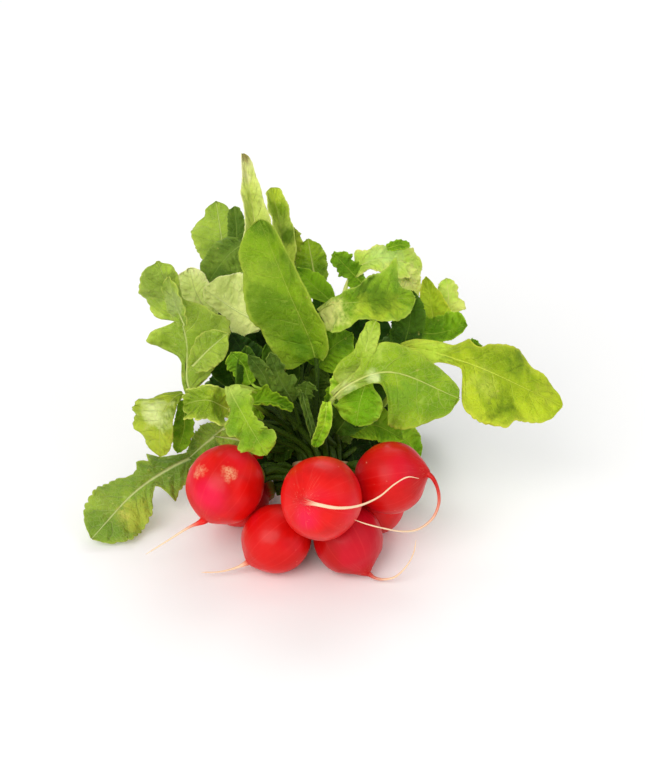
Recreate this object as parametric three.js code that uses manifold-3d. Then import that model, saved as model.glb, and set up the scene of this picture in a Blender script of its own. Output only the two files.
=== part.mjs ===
// A bunch of red radishes lying on its side: eight bulbs with their tap roots, the leaves of all
// eight, and the rubber band that ties the leaf stalks together.
// Millimetres, +Z up. The roots point along -Y, the leaves rise and spread towards +Y.
// The bunch is laid out about a working origin on the table under the two front bulbs, then moved
// so that the middle of its box stands over the origin.

import * as THREE from "three";
import { mergeVertices } from "three/addons/utils/BufferGeometryUtils.js";
import Module from "manifold-3d";

const wasm = await Module();
wasm.setup();

const V = (x, y, z) => new THREE.Vector3(x, y, z);
const UP = V(0, 1, 0); // three.js turns a lathe round its own Y axis

// Driving dimensions.
const GAP = 0.3; // clear space between pieces that meet
const SLIVER = 0.05; // faces narrower than this are closed up where leaves are joined
const TIE_CENTRE = V(4, 43.5, 21);
const TIE_AXIS = V(0, 0.62, 0.78).normalize(); // the way the stalks run through the band
const TIE_SIDE = V(1, 0, 0);
const TIE_TOP = new THREE.Vector3().crossVectors(TIE_AXIS, TIE_SIDE).negate();
const BAND_WIDTH = 4; // along the stalks
const BAND_THICKNESS = 1.4;
const BAND_SIDES = 24;

const STALK_RADIUS = 1.3; // at the tie
const STALK_BASE_RADIUS = 1.6; // at the crown
const STALK_END_RADIUS = 1.1; // where the blade begins
const RIB_TIP_RADIUS = 0.5;
const STALK_PITCH = 3.15; // between neighbouring stalks in the band
const OUTER_STALKS = 18; // in the outermost ring of stalks
const STRAIGHT = 5; // each stalk runs straight this far on both sides of the tie
const RISE = 0.08; // how far a stalk bows along the band's axis, as a share of its way
const BLADE_THICKNESS = 0.8;
const WIDEST = 0.42; // where a plain blade is widest
const LEAN = 0.55; // how far the side veins lean towards the tip
const WING = 1.2; // narrow strip of blade beside the rib between two lobes

const NECK_RADIUS = 4.4; // short green neck that carries the stalks
const NECK_HEIGHT = 2.2;
const SEAT_RADIUS = 2.5; // stalks stand this far from the neck's axis
const REST_FLAT = 0.3; // how much of a resting bulb is flattened where it touches the table

const TAIL_SIDES = 5;
const BULB_SIDES = 14;
const PALM = [-1, -0.5, 0, 0.5, 1]; // stations across a leaf, from margin to margin
const SPINE_STEPS = 120;
const LONG_SPAN = 14; // a longer stretch of stalk has a section half-way
const BLADE_SECTIONS = { fine: 12, plain: 7 };

const RED = 0xc81624;
const ROOT_ROUGHNESS = 0.42;
const GREENS = { bright: 0x7ea52a, olive: 0x6b8a2e, deep: 0x3c6120, pale: 0xb3c178 };
const LEAF_ROUGHNESS = 0.6;
const BAND_COLOUR = 0xb59a63;
const BAND_ROUGHNESS = 0.7;

// Bulbs: centre, radius across, length over width, tail base radius, crown direction, and the tap
// root's route from the skin to its thin end.
const BULBS = [
  { name: "bulb_left_top", centre: V(-35.5, 10, 34), radius: 15.8, stretch: 1.05, tail: 2.2,
    crown: V(0.72, 0.6, -0.12),
    root: [V(-44, 1.5, 22.5), V(-50, 0, 20), V(-59, -1, 14), V(-68, -2, 8)] },
  { name: "bulb_middle_top", centre: V(3.8, -10.5, 41), radius: 16, stretch: 1.05, tail: 2.4,
    crown: V(0.1, 0.97, -0.2),
    root: [V(-2.5, -24, 48.5), V(2, -28.5, 49.5), V(10, -28.5, 47), V(19, -24, 44), V(27, -17, 44),
      V(34, -11, 48), V(39, -9, 48), V(43, -9, 45)] },
  { name: "bulb_right_top", centre: V(32, 10, 37.4), radius: 13.9, stretch: 1.08, tail: 2.6,
    crown: V(-0.7, 0.7, -0.25),
    root: [V(44, 7.5, 41.5), V(48, 5, 41.5), V(51, 2, 38), V(51.5, -1, 33), V(50, -4, 28.5),
      V(45, -8, 25), V(39, -12, 23.5), V(32, -15, 24.5), V(25, -17, 26.5)] },
  { name: "bulb_left_front", centre: V(-14.7, 0, 14.3), radius: 14.2, stretch: 1.02, tail: 2,
    crown: V(0.45, 0.85, 0.28),
    root: [V(-25, -5, 7), V(-31, -6.5, 4.5), V(-38, -8, 3.5), V(-45, -9, 4)] },
  { name: "bulb_right_front", centre: V(14.7, 0, 14.3), radius: 14.2, stretch: 1.04, tail: 2.2,
    crown: V(-0.3, 0.88, 0.36),
    root: [V(21, -8, 5.5), V(26, -11, 2.5), V(33, -12, 3.5), V(38, -11, 8), V(41, -10, 14),
      V(42, -9, 20)] },
  { name: "bulb_right_middle", centre: V(25.5, 27, 14), radius: 13.6, stretch: 1.03, tail: 1.8,
    crown: V(-0.85, 0.5, 0.1),
    root: [V(26, 39, 7.5), V(27, 45, 4), V(28, 51, 2.5), V(30, 57, 2)] },
  { name: "bulb_left_middle", centre: V(-31, 32, 14), radius: 13, stretch: 1.02, tail: 1.8,
    crown: V(0.95, 0.28, 0.12),
    root: [V(-38, 40, 7), V(-42, 44, 4), V(-46, 48, 2.5), V(-50, 51, 2)] },
  { name: "bulb_rear", centre: V(-23.5, 62, 19), radius: 12.4, stretch: 1.02, tail: 1.6,
    crown: V(0.71, -0.61, -0.34), dive: 10,
    root: [V(-30, 71, 14), V(-33, 76, 9), V(-35, 81, 5), V(-36, 87, 2)] },
];

// Leaves. route: where the blade begins, its middle and its tip. via: places the stalk passes on
// the way. face: where the upper side looks. half: half-width of the end lobe. lobes: place along
// the blade, side (-1 left, 1 right of the rib, seen from above with the tip away) and reach.
// fold and cup lift the margins, in degrees. point: 0.5 is a round tip, 1 a pointed one.
const LEAVES = [
  { name: "leaf_far_left", bulb: "bulb_left_middle", green: "olive", fine: true, seat: [1, 7],
    lead: [V(-9, 41, 14)],
    via: [V(-22, 55, 33)],
    route: [V(-55, 48, 57), V(-55, 62, 71), V(-65, 55, 114)], face: V(-0.1, -0.93, 0.35),
    half: [12, 10], end: 0.44, lobes: [[0.26, -1, 17, 0.14], [0.3, 1, 19, 0.2]], fold: 4, cup: -14, point: 0.6 },
  { name: "leaf_tallest", bulb: "bulb_rear", green: "bright", fine: true, seat: [2, 11],
    lead: [V(-4, 45, 11)],
    via: [V(-15, 76, 52)],
    route: [V(-25, 99, 75), V(-31, 124, 97), V(-34, 140, 123)], face: V(0.45, -0.7, 0.6),
    half: [9, 10], fold: 30, cup: 10, point: 1 },
  { name: "leaf_upright", bulb: "bulb_left_middle", green: "bright", fine: true, seat: [1, 8],
    lead: [V(-4, 42, 13)],
    via: [V(-6, 70, 49)],
    route: [V(-16, 88, 79), V(-19, 108, 95), V(-23, 123, 113)], face: V(-0.3, -0.7, 0.7),
    half: [9, 9], lobes: [[0.45, 1, 12, 0.14]], fold: 30, cup: 8, point: 0.8 },
  { name: "leaf_big_front", bulb: "bulb_left_top", green: "olive", fine: true, seat: [1, 4],
    lead: [V(-4, 28, 25)],
    via: [V(1, 47, 44)],
    route: [V(2, 52, 67), V(-13, 59, 98), V(-24, 75, 119)], face: V(-0.45, -0.85, 0.36),
    half: [19, 17], widest: 0.36, fold: 16, cup: 12, point: 0.75 },
  { name: "leaf_top_left", bulb: "bulb_rear", green: "deep", fine: true, seat: [2, 12],
    lead: [V(-6, 45, 13)],
    via: [V(-10, 81, 56)],
    route: [V(-32, 100, 70), V(-41, 121, 87), V(-51, 146, 99)], face: V(-0.1, -0.6, 0.8),
    half: [11, 13], end: 0.5, lobes: [[0.34, -1, 11, 0.16], [0.34, 1, 10, 0.16]], fold: 0, cup: -12, point: 0.5 },
  { name: "leaf_pale_small", bulb: "bulb_left_front", green: "pale", fine: false, seat: [1, 5],
    lead: [V(-4, 26, 17)],
    via: [V(-13, 63, 48)],
    route: [V(-43, 82, 71), V(-53, 88, 83), V(-54, 93, 91)], face: V(0, -0.75, 0.66),
    half: [8, 8], fold: 8, cup: 10, point: 0.6 },
  { name: "leaf_pale_back", bulb: "bulb_right_front", green: "pale", fine: true, seat: [2, 3],
    lead: [V(9, 27, 24)],
    via: [V(-5, 61, 50)],
    route: [V(-17, 69, 71), V(-32, 79, 80), V(-45, 78, 91)], face: V(0.1, 0.9, -0.4),
    half: [12, 11], fold: 8, cup: 8, point: 0.65 },
  { name: "leaf_droop_left", bulb: "bulb_left_top", green: "bright", fine: true, seat: [2, 7],
    lead: [V(-12, 33, 29)],
    via: [V(-39, 38, 48)],
    route: [V(-54, 45, 54), V(-65, 30, 49), V(-63, 35, 29)], face: V(-0.35, -0.8, 0.4),
    half: [13, 13], fold: 10, cup: -10, point: 0.6 },
  { name: "leaf_low_left", bulb: "bulb_left_middle", green: "olive", fine: true, seat: [2, 10],
    lead: [V(-9, 42, 17)],
    via: [V(-26, 37, 34)],
    route: [V(-47, 58, 21), V(-74, 33, 15), V(-95, 23, 5)], face: V(-0.25, -0.8, 0.55),
    half: [13, 13], end: 0.46, lobes: [[0.1, 1, 13, 0.14], [0.36, 1, 11, 0.12], [0.36, -1, 14, 0.13]],
    fold: 2, cup: -8, point: 0.5 },
  { name: "leaf_curl_left", bulb: "bulb_left_top", green: "bright", fine: false, seat: [2, 6],
    lead: [V(-3, 32, 23)],
    via: [V(-19, 31, 50)],
    route: [V(-34, 24, 56), V(-44, 11, 62), V(-53, 24, 55)], face: V(0, -0.6, 0.8),
    half: [6, 6], fold: 20, cup: 30, point: 0.6 },
  { name: "leaf_hang_front", bulb: "bulb_middle_top", green: "bright", fine: true, seat: [2, 5],
    lead: [V(5, 26, 33)],
    via: [V(-18, 38, 58)],
    route: [V(-27, 16, 72), V(-24, 7, 64), V(-19, 5, 49)], face: V(0, -0.95, 0.3),
    half: [9, 9], fold: 4, cup: -16, point: 0.7 },
  { name: "leaf_curl_front", bulb: "bulb_left_top", green: "bright", fine: false, seat: [2, 8],
    lead: [V(-12, 33, 26)],
    via: [V(-11, 44, 41)],
    route: [V(-21, 34, 55), V(-12, 34, 56), V(-4, 33, 50)], face: V(0, -0.6, 0.8),
    half: [5, 5], fold: 20, cup: 30, point: 0.6 },
  { name: "leaf_strap", bulb: "bulb_right_top", green: "bright", fine: false, seat: [2, 17],
    lead: [V(16, 36, 22)],
    via: [V(4, 42, 49)],
    route: [V(6, 21, 64), V(5, 22, 51), V(3, 24, 42)], face: V(0, -0.95, 0.3),
    half: [4, 4], fold: 14, cup: 20, point: 0.6 },
  { name: "leaf_front_right", bulb: "bulb_middle_top", green: "bright", fine: true, seat: [2, 4],
    lead: [V(7, 23, 30)],
    via: [V(5, 32, 46)],
    route: [V(11, 31, 63), V(38, 31, 62), V(63, 26, 60)], face: V(0.1, -0.85, 0.5),
    half: [17, 17], end: 0.2, lobes: [[0.14, -1, 23, 0.13], [0.1, 1, 14, 0.14]], fold: 2, cup: -12, point: 0.5 },
  { name: "leaf_far_right", bulb: "bulb_right_top", green: "bright", fine: true, seat: [1, 1],
    lead: [V(14, 35, 23)],
    via: [V(18, 50, 60)],
    route: [V(37, 54, 72), V(68, 34, 72), V(109, 39, 49)], face: V(0.2, -0.7, 0.7),
    half: [14, 15], end: 0.36, lobes: [[0.1, -1, 8, 0.1], [0.12, 1, 7, 0.1], [0.34, -1, 8, 0.07]],
    fold: 4, cup: -12, point: 0.6 },
  { name: "leaf_wavy_right", bulb: "bulb_middle_top", green: "deep", fine: true, seat: [0, 3],
    lead: [V(1, 26, 24)],
    via: [V(-5, 56, 57)],
    route: [V(1, 67, 80), V(24, 54, 97), V(45, 69, 97)], face: V(0, -0.8, 0.6),
    half: [12, 12], fold: 8, cup: 14, point: 0.6 },
  { name: "leaf_ragged_right", bulb: "bulb_right_middle", green: "deep", fine: true, seat: [0, 0],
    lead: [V(12, 36, 20)],
    via: [V(10, 70, 51)],
    route: [V(12, 100, 76), V(29, 95, 91), V(46, 108, 97)], face: V(0, -0.65, 0.75),
    half: [10, 10], lobes: [[0.25, -1, 12, 0.14], [0.5, 1, 10, 0.12]], fold: 6, cup: 10, point: 0.7 },
  { name: "leaf_top_right", bulb: "bulb_right_top", green: "bright", fine: true, seat: [1, 0],
    lead: [V(10, 40, 19)],
    via: [V(31, 53, 48)],
    route: [V(56, 84, 65), V(53, 85, 80), V(50, 95, 87)], face: V(0, -0.7, 0.7),
    half: [7, 7], lobes: [[0.35, 1, 13, 0.2]], fold: 10, cup: 14, point: 0.7 },
  { name: "leaf_dark_right", bulb: "bulb_right_middle", green: "deep", fine: false, seat: [0, 4],
    lead: [V(4, 42, 16)],
    via: [V(12, 59, 36)],
    route: [V(38, 62, 73), V(53, 70, 71), V(66, 62, 78)], face: V(0, -0.6, 0.8),
    half: [8, 8], fold: 10, cup: 10, point: 0.6 },
  { name: "leaf_round_back", bulb: "bulb_left_front", green: "deep", fine: false, seat: [1, 9],
    via: [V(0, 75, 54)],
    route: [V(-4, 94, 79), V(-6, 103, 91), V(-4, 107, 102)], face: V(0.1, -0.7, 0.7),
    half: [8, 8], fold: 6, cup: -10, point: 0.5 },
  { name: "leaf_narrow_middle", bulb: "bulb_left_front", green: "deep", fine: false, seat: [1, 6],
    lead: [V(-4, 32, 17)],
    via: [V(-3, 67, 50)],
    route: [V(9, 73, 82), V(3, 77, 91), V(-6, 82, 102)], face: V(0.3, -0.7, 0.6),
    half: [5, 5], fold: 10, cup: 10, point: 0.8 },
  { name: "leaf_middle_right", bulb: "bulb_right_front", green: "bright", fine: false, seat: [1, 2],
    lead: [V(6, 29, 17)],
    via: [V(3, 56, 37)],
    route: [V(8, 64, 53), V(11, 65, 68), V(15, 73, 77)], face: V(0, -0.8, 0.5),
    half: [9, 9], fold: 6, cup: 10, point: 0.6 },
  { name: "leaf_inner_left", bulb: "bulb_left_middle", green: "deep", fine: false, seat: [2, 9],
    lead: [V(-10, 39, 20)],
    via: [V(-13, 55, 39)],
    route: [V(-32, 66, 48), V(-37, 68, 59), V(-43, 68, 72)], face: V(0.1, -0.8, 0.5),
    half: [8, 8], fold: 8, cup: 10, point: 0.6 },
  { name: "leaf_inner_middle", bulb: "bulb_middle_top", green: "deep", fine: false, seat: [0, 2],
    lead: [V(4, 19, 24)],
    via: [V(-3, 50, 46)],
    route: [V(-20, 52, 50), V(-26, 39, 68), V(-27, 42, 81)], face: V(0.1, -0.85, 0.45),
    half: [7, 7], fold: 8, cup: 12, point: 0.6 },
  { name: "leaf_inner_front", bulb: "bulb_middle_top", green: "deep", fine: false, seat: [1, 3],
    lead: [V(6, 23, 26)],
    via: [V(4, 40, 40)],
    route: [V(-9, 52, 51), V(-12, 56, 57), V(-19, 58, 73)], face: V(0.1, -0.85, 0.45),
    half: [8, 8], fold: 8, cup: 12, point: 0.6 },
  { name: "leaf_inner_right", bulb: "bulb_right_top", green: "deep", fine: false, seat: [2, 2],
    via: [V(11, 43, 34)],
    route: [V(10, 35, 43), V(18, 36, 57), V(21, 42, 69)], face: V(0, -0.85, 0.45),
    half: [8, 8], fold: 8, cup: 10, point: 0.6 },
  { name: "leaf_low_right", bulb: "bulb_right_top", green: "deep", fine: false, seat: [2, 0],
    lead: [V(19, 37, 24)],
    via: [V(13, 44, 26)],
    route: [V(29, 59, 29), V(39, 62, 21), V(50, 63, 18)], face: V(0.2, -0.7, 0.7),
    half: [6, 6], fold: 6, cup: 10, point: 0.6 },
  { name: "leaf_under_right", bulb: "bulb_right_middle", green: "deep", fine: false, seat: [1, 10],
    lead: [V(7, 37, 12)],
    via: [V(17, 53, 38)],
    route: [V(15, 40, 42), V(26, 44, 42), V(38, 41, 37)], face: V(0, -0.7, 0.7),
    half: [7, 7], fold: 6, cup: 10, point: 0.6 },
  { name: "leaf_rear_left", bulb: "bulb_rear", green: "olive", fine: true, seat: [2, 13],
    lead: [V(-2, 47, 7)],
    via: [V(-7, 69, 31)],
    route: [V(-20, 80, 44), V(-36, 108, 31), V(-47, 125, 7)], face: V(-0.2, 0.3, 0.93),
    half: [14, 14], end: 0.3, lobes: [[0.18, -1, 9, 0.12], [0.18, 1, 9, 0.12]], fold: 4, cup: -10, point: 0.5 },
  { name: "leaf_rear_middle", bulb: "bulb_rear", green: "olive", fine: true, seat: [2, 16],
    via: [V(16, 66, 32)],
    route: [V(1, 90, 45), V(5, 116, 31), V(6, 142, 4)], face: V(0, 0.3, 0.95),
    half: [15, 15], end: 0.3, lobes: [[0.18, -1, 9, 0.12], [0.18, 1, 9, 0.12]], fold: 4, cup: -10, point: 0.5 },
  { name: "leaf_rear_right", bulb: "bulb_right_middle", green: "olive", fine: true, seat: [0, 1],
    via: [V(8, 68, 38)],
    route: [V(22, 64, 53), V(41, 96, 37), V(54, 112, 14)], face: V(0.2, 0.3, 0.93),
    half: [14, 14], end: 0.3, lobes: [[0.18, -1, 9, 0.12], [0.18, 1, 9, 0.12]], fold: 4, cup: -10, point: 0.5 },
];

// The rings of stalks in the band, as radius and how many have room on it.
const RINGS = [1, 2, 3].map((ring) => {
  const radius = ring * STALK_PITCH;
  const room = Math.floor(Math.PI / Math.asin(0.5 / ring));
  return { radius, room: Math.min(room, OUTER_STALKS) };
});
const BUNDLE_RADIUS = RINGS.at(-1).radius + STALK_RADIUS * 1.12;

// A place on a ring round a centre, in the plane of two side directions.
function onRing(centre, side, top, radius, angle) {
  return centre
    .clone()
    .addScaledVector(side, radius * Math.cos(angle))
    .addScaledVector(top, radius * Math.sin(angle));
}

// Where a leaf's stalk passes through the band.
function slotOf(leaf) {
  const [ring, place] = leaf.seat;
  const { radius, room } = RINGS[ring];
  return onRing(TIE_CENTRE, TIE_SIDE, TIE_TOP, radius, (2 * Math.PI * place) / room);
}

// Seats the stalks of one bulb evenly round the end of its neck, in the order in which they reach
// the band, so that they don't cross.
function seatOnNeck(bulb) {
  const crown = bulb.crown.clone().normalize();
  const side = new THREE.Vector3().crossVectors(crown, TIE_TOP).normalize();
  const top = new THREE.Vector3().crossVectors(crown, side).normalize();
  const reach = bulb.radius * bulb.stretch + NECK_HEIGHT + GAP;
  const centre = bulb.centre.clone().addScaledVector(crown, reach);
  const stalks = LEAVES.filter((leaf) => leaf.bulb === bulb.name).map((leaf) => {
    const way = leaf.slot.clone().sub(centre);
    return { leaf, angle: Math.atan2(way.dot(top), way.dot(side)) };
  });
  stalks.sort((a, b) => a.angle - b.angle);
  const step = (2 * Math.PI) / stalks.length;
  const turn = stalks.reduce((sum, stalk, i) => sum + stalk.angle - i * step, 0) / stalks.length;
  stalks.forEach(({ leaf }, i) => {
    leaf.foot = onRing(centre, side, top, SEAT_RADIUS, turn + i * step);
    leaf.crown = crown;
    leaf.dive = bulb.dive ?? STRAIGHT;
  });
}

// The line along a leaf: off the neck, straight through the band, then along its own route.
function leafLine(leaf) {
  const before = leaf.slot.clone().addScaledVector(TIE_AXIS, -leaf.dive);
  const after = leaf.slot.clone().addScaledVector(TIE_AXIS, STRAIGHT);
  const off = leaf.foot.clone().addScaledVector(leaf.crown, STRAIGHT);
  const rise = after.distanceTo(leaf.route[0]) * RISE;
  const via = leaf.via ?? [after.clone().lerp(leaf.route[0], 0.45).addScaledVector(TIE_AXIS, rise)];
  const points = [leaf.foot, off, ...(leaf.lead ?? []), before, after, ...via, ...leaf.route];
  return new THREE.CatmullRomCurve3(points, false, "centripetal");
}

// Even stations along a curve, each with its place, its direction and a normal that turns with the
// curve and looks towards face where the blade is, at the share anchor of the length.
function spineFrames(curve, face, anchor) {
  const frames = [];
  for (let i = 0; i <= SPINE_STEPS; i++) {
    const along = i / SPINE_STEPS;
    frames.push({ place: curve.getPointAt(along), ahead: curve.getTangentAt(along) });
  }
  const start = Math.round(anchor * SPINE_STEPS);
  const settle = (frame, normal) => {
    frame.normal = normal.clone().addScaledVector(frame.ahead, -normal.dot(frame.ahead)).normalize();
    frame.side = new THREE.Vector3().crossVectors(frame.ahead, frame.normal);
  };
  settle(frames[start], face);
  for (let i = start + 1; i <= SPINE_STEPS; i++) settle(frames[i], frames[i - 1].normal);
  for (let i = start - 1; i >= 0; i--) settle(frames[i], frames[i + 1].normal);
  return frames;
}

// The share of a curve's length at which it passes its control point number index.
function shareAtPoint(curve, index) {
  const lengths = curve.getLengths(SPINE_STEPS);
  const at = Math.round((index / (curve.points.length - 1)) * SPINE_STEPS);
  return lengths[at] / lengths.at(-1);
}

// Half-width of a blade beside its rib, at a share of its length, on one side.
function bladeHalf(leaf, along, side) {
  const start = leaf.end ?? 0;
  const x = THREE.MathUtils.clamp((along - start) / (1 - start), 0, 1);
  const widest = leaf.half[side < 0 ? 0 : 1];
  const bend = Math.log(0.5) / Math.log(leaf.widest ?? WIDEST);
  let half = widest * Math.max(0, Math.sin(Math.PI * x ** bend)) ** leaf.point;
  for (const [at, onSide, reach, span] of leaf.lobes ?? []) {
    const away = Math.abs(along - at) / span;
    if (onSide === side && away < 1) half = Math.max(half, reach * Math.cos((away * Math.PI) / 2) ** 0.6);
  }
  const wing = WING * Math.min(1, (1 - along) * 8) * Math.min(1, along * 12);
  return Math.max(half, wing);
}

// The middle surface of a leaf as rows of points, with the radius of its stalk or rib.
function leafRows(leaf) {
  const curve = leafLine(leaf);
  const bladeFrom = shareAtPoint(curve, curve.points.length - leaf.route.length);
  const frames = spineFrames(curve, leaf.face, (1 + bladeFrom) / 2);
  const rows = [];
  const row = (share, along) => {
    const { place, ahead, normal, side } = frames[Math.round(share * SPINE_STEPS)];
    const rib = ribRadius(share, along, bladeFrom);
    const tooth = rows.length % 2 ? 1.05 : 0.95;
    const points = PALM.map((across) => {
      const hand = Math.sign(across);
      const half = rib + (along < 0 ? 0 : bladeHalf(leaf, along, hand) * tooth);
      const spread = along < 0 ? 0 : 1;
      const lift = THREE.MathUtils.degToRad(leaf.fold + leaf.cup * Math.abs(across)) * spread;
      const out = Math.abs(across) * half;
      const shear = along < 0 ? 0 : LEAN * (1 - along) * (out - rib * Math.abs(across));
      return place
        .clone()
        .addScaledVector(side, hand * out * Math.cos(lift))
        .addScaledVector(normal, out * Math.sin(lift) + ruffle(leaf, along, across))
        .addScaledVector(ahead, shear);
    });
    rows.push({ points, rib, half: rib + (along < 0 ? 0 : bladeHalf(leaf, along, 1)), normal });
  };
  for (const share of stalkShares(curve, leaf.route.length)) row(share, -1);
  const sections = leaf.fine ? BLADE_SECTIONS.fine : BLADE_SECTIONS.plain;
  for (let i = 0; i <= sections; i++) {
    const along = Math.sin((i / sections) * (Math.PI / 2)) ** 1.15;
    row(bladeFrom + (1 - bladeFrom) * along, along);
  }
  return rows;
}

// The shares of a leaf's length at which its stalk has sections: where it is held, and between.
function stalkShares(curve, bladePoints) {
  const shares = [];
  for (let i = 0; i < curve.points.length - bladePoints; i++) {
    const span = curve.points[i].distanceTo(curve.points[i + 1]);
    const from = shareAtPoint(curve, i);
    shares.push(from);
    if (span > LONG_SPAN) shares.push((from + shareAtPoint(curve, i + 1)) / 2);
  }
  return shares;
}

// Radius of the stalk, and of the rib that goes on under the blade.
function ribRadius(share, along, bladeFrom) {
  if (along >= 0) return THREE.MathUtils.lerp(STALK_END_RADIUS, RIB_TIP_RADIUS, along);
  const x = share / bladeFrom;
  return x < 0.5
    ? THREE.MathUtils.lerp(STALK_BASE_RADIUS, STALK_RADIUS, x * 2)
    : THREE.MathUtils.lerp(STALK_RADIUS, STALK_END_RADIUS, x * 2 - 1);
}

// Waves along the margins of a blade.
function ruffle(leaf, along, across) {
  if (along < 0) return 0;
  const height = 0.1 * leaf.half[0] * across * across * Math.sin(Math.PI * along);
  return height * Math.sin(14 * along + leaf.half[0] + (across > 0 ? 2 : 0));
}

// A closed sheet between an upper and a lower grid of points, with the same triangles on both.
function sheetBetween(upper, lower) {
  const columns = upper[0].length;
  const rows = upper.length;
  const positions = [];
  for (const grid of [upper, lower])
    for (const row of grid) for (const p of row) positions.push(p.x, p.y, p.z);
  const at = (k, j) => k * columns + j;
  const under = (k, j) => rows * columns + at(k, j);
  const index = [];
  const quad = (a, b, c, d) => index.push(a, b, c, a, c, d);
  for (let k = 0; k + 1 < rows; k++) {
    for (let j = 0; j + 1 < columns; j++) {
      index.push(at(k, j), at(k, j + 1), at(k + 1, j + 1), at(k, j), at(k + 1, j + 1), at(k + 1, j));
      index.push(under(k, j), under(k + 1, j + 1), under(k, j + 1));
      index.push(under(k, j), under(k + 1, j), under(k + 1, j + 1));
    }
    quad(at(k, 0), at(k + 1, 0), under(k + 1, 0), under(k, 0));
    quad(at(k + 1, columns - 1), at(k, columns - 1), under(k, columns - 1), under(k + 1, columns - 1));
  }
  for (let j = 0; j + 1 < columns; j++) {
    quad(at(0, j + 1), at(0, j), under(0, j), under(0, j + 1));
    quad(at(rows - 1, j), at(rows - 1, j + 1), under(rows - 1, j + 1), under(rows - 1, j));
  }
  const geometry = new THREE.BufferGeometry();
  geometry.setAttribute("position", new THREE.Float32BufferAttribute(positions, 3));
  geometry.setIndex(index);
  return geometry;
}

// One leaf, from the foot of its stalk to its tip, as one closed body.
function leafGeometry(leaf) {
  const rows = leafRows(leaf);
  const thin = BLADE_THICKNESS / 2;
  const upper = [];
  const lower = [];
  rows.forEach((row, k) => {
    const before = rows[Math.max(0, k - 1)].points;
    const after = rows[Math.min(rows.length - 1, k + 1)].points;
    const normals = PALM.map((across, j) => {
      const along = after[j].clone().sub(before[j]);
      const left = row.points[Math.max(0, j - 1)];
      const right = row.points[Math.min(PALM.length - 1, j + 1)];
      const normal = right.clone().sub(left).cross(along).normalize();
      return normal.dot(row.normal) < 0 ? normal.negate() : normal;
    });
    const round = (row.rib / row.half) ** 2;
    const above = PALM.map((u) => thin + (row.rib - thin) * round * (1 - u * u));
    const below = PALM.map((u) => thin + (row.rib - thin) * Math.exp(-1.5 * ((u * row.half) / row.rib) ** 2));
    upper.push(row.points.map((p, j) => p.clone().addScaledVector(normals[j], above[j])));
    lower.push(row.points.map((p, j) => p.clone().addScaledVector(normals[j], -below[j])));
  });
  return sheetBetween(upper, lower);
}

// A closed round tube along points, tapering from one radius to the other.
function taperedTube(points, from, to, steps) {
  const curve = new THREE.CatmullRomCurve3(points, false, "centripetal");
  const frames = spineFrames(curve, V(0.31, 0.42, 0.85), 0);
  const positions = [];
  const index = [];
  for (let k = 0; k <= steps; k++) {
    const { place, normal, side } = frames[Math.round((k / steps) * SPINE_STEPS)];
    const radius = to + (from - to) * (1 - k / steps) ** 2;
    for (let j = 0; j < TAIL_SIDES; j++) {
      const angle = (j / TAIL_SIDES) * 2 * Math.PI;
      const p = place
        .clone()
        .addScaledVector(normal, radius * Math.cos(angle))
        .addScaledVector(side, radius * Math.sin(angle));
      positions.push(p.x, p.y, p.z);
    }
  }
  const at = (k, j) => k * TAIL_SIDES + (j % TAIL_SIDES);
  for (let k = 0; k < steps; k++)
    for (let j = 0; j < TAIL_SIDES; j++)
      index.push(at(k, j), at(k, j + 1), at(k + 1, j + 1), at(k, j), at(k + 1, j + 1), at(k + 1, j));
  for (let j = 1; j + 1 < TAIL_SIDES; j++) {
    index.push(at(0, 0), at(0, j + 1), at(0, j));
    index.push(at(steps, 0), at(steps, j), at(steps, j + 1));
  }
  const geometry = new THREE.BufferGeometry();
  geometry.setAttribute("position", new THREE.Float32BufferAttribute(positions, 3));
  geometry.setIndex(index);
  return geometry;
}

// A closed geometry as a solid that can be joined or cut.
function solidOf(geometry) {
  const plain = geometry.clone();
  plain.deleteAttribute("normal");
  plain.deleteAttribute("uv");
  const merged = mergeVertices(plain);
  return new wasm.Manifold(
    new wasm.Mesh({
      numProp: 3,
      vertProperties: merged.attributes.position.array,
      triVerts: new Uint32Array(merged.index.array),
    }),
  );
}

// A joined or cut solid back as a geometry.
function geometryOf(solid) {
  const mesh = solid.getMesh();
  const geometry = new THREE.BufferGeometry();
  geometry.setAttribute("position", new THREE.BufferAttribute(mesh.vertProperties, 3));
  geometry.setIndex(new THREE.BufferAttribute(mesh.triVerts, 1));
  geometry.computeVertexNormals();
  return geometry;
}

// Turns a lathe's axis to a direction and puts its origin at a place.
function aimLathe(geometry, direction, place) {
  const turn = new THREE.Quaternion().setFromUnitVectors(UP, direction.clone().normalize());
  return geometry.applyQuaternion(turn).translate(place.x, place.y, place.z);
}

// The round body, lathed from the root end up: a cone into the tap root, then a near sphere.
function bulbBody(bulb) {
  const { radius, stretch, tail, centre } = bulb;
  const length = radius * stretch;
  const toRoot = bulb.root[0].clone().sub(centre);
  const profile = [new THREE.Vector2(0, -toRoot.length()), new THREE.Vector2(tail * 0.8, -toRoot.length())];
  const rings = 9;
  for (let i = 1; i <= rings; i++) {
    const angle = (i / rings) * Math.PI;
    const out = i === rings ? 0 : Math.max(radius * Math.sin(angle), tail);
    const up = -length * Math.cos(angle);
    if (up > -toRoot.length() + 0.4) profile.push(new THREE.Vector2(out, up));
  }
  const geometry = new THREE.LatheGeometry(profile, BULB_SIDES);
  return aimLathe(geometry, toRoot.negate(), centre);
}

// The short neck at the crown, sunk into the bulb.
function neckBody(bulb) {
  const reach = bulb.radius * bulb.stretch;
  const profile = [
    new THREE.Vector2(0, reach - 4),
    new THREE.Vector2(NECK_RADIUS + 1, reach - 4),
    new THREE.Vector2(NECK_RADIUS, reach + NECK_HEIGHT),
    new THREE.Vector2(0, reach + NECK_HEIGHT),
  ];
  return aimLathe(new THREE.LatheGeometry(profile, 8), bulb.crown, bulb.centre);
}

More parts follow.
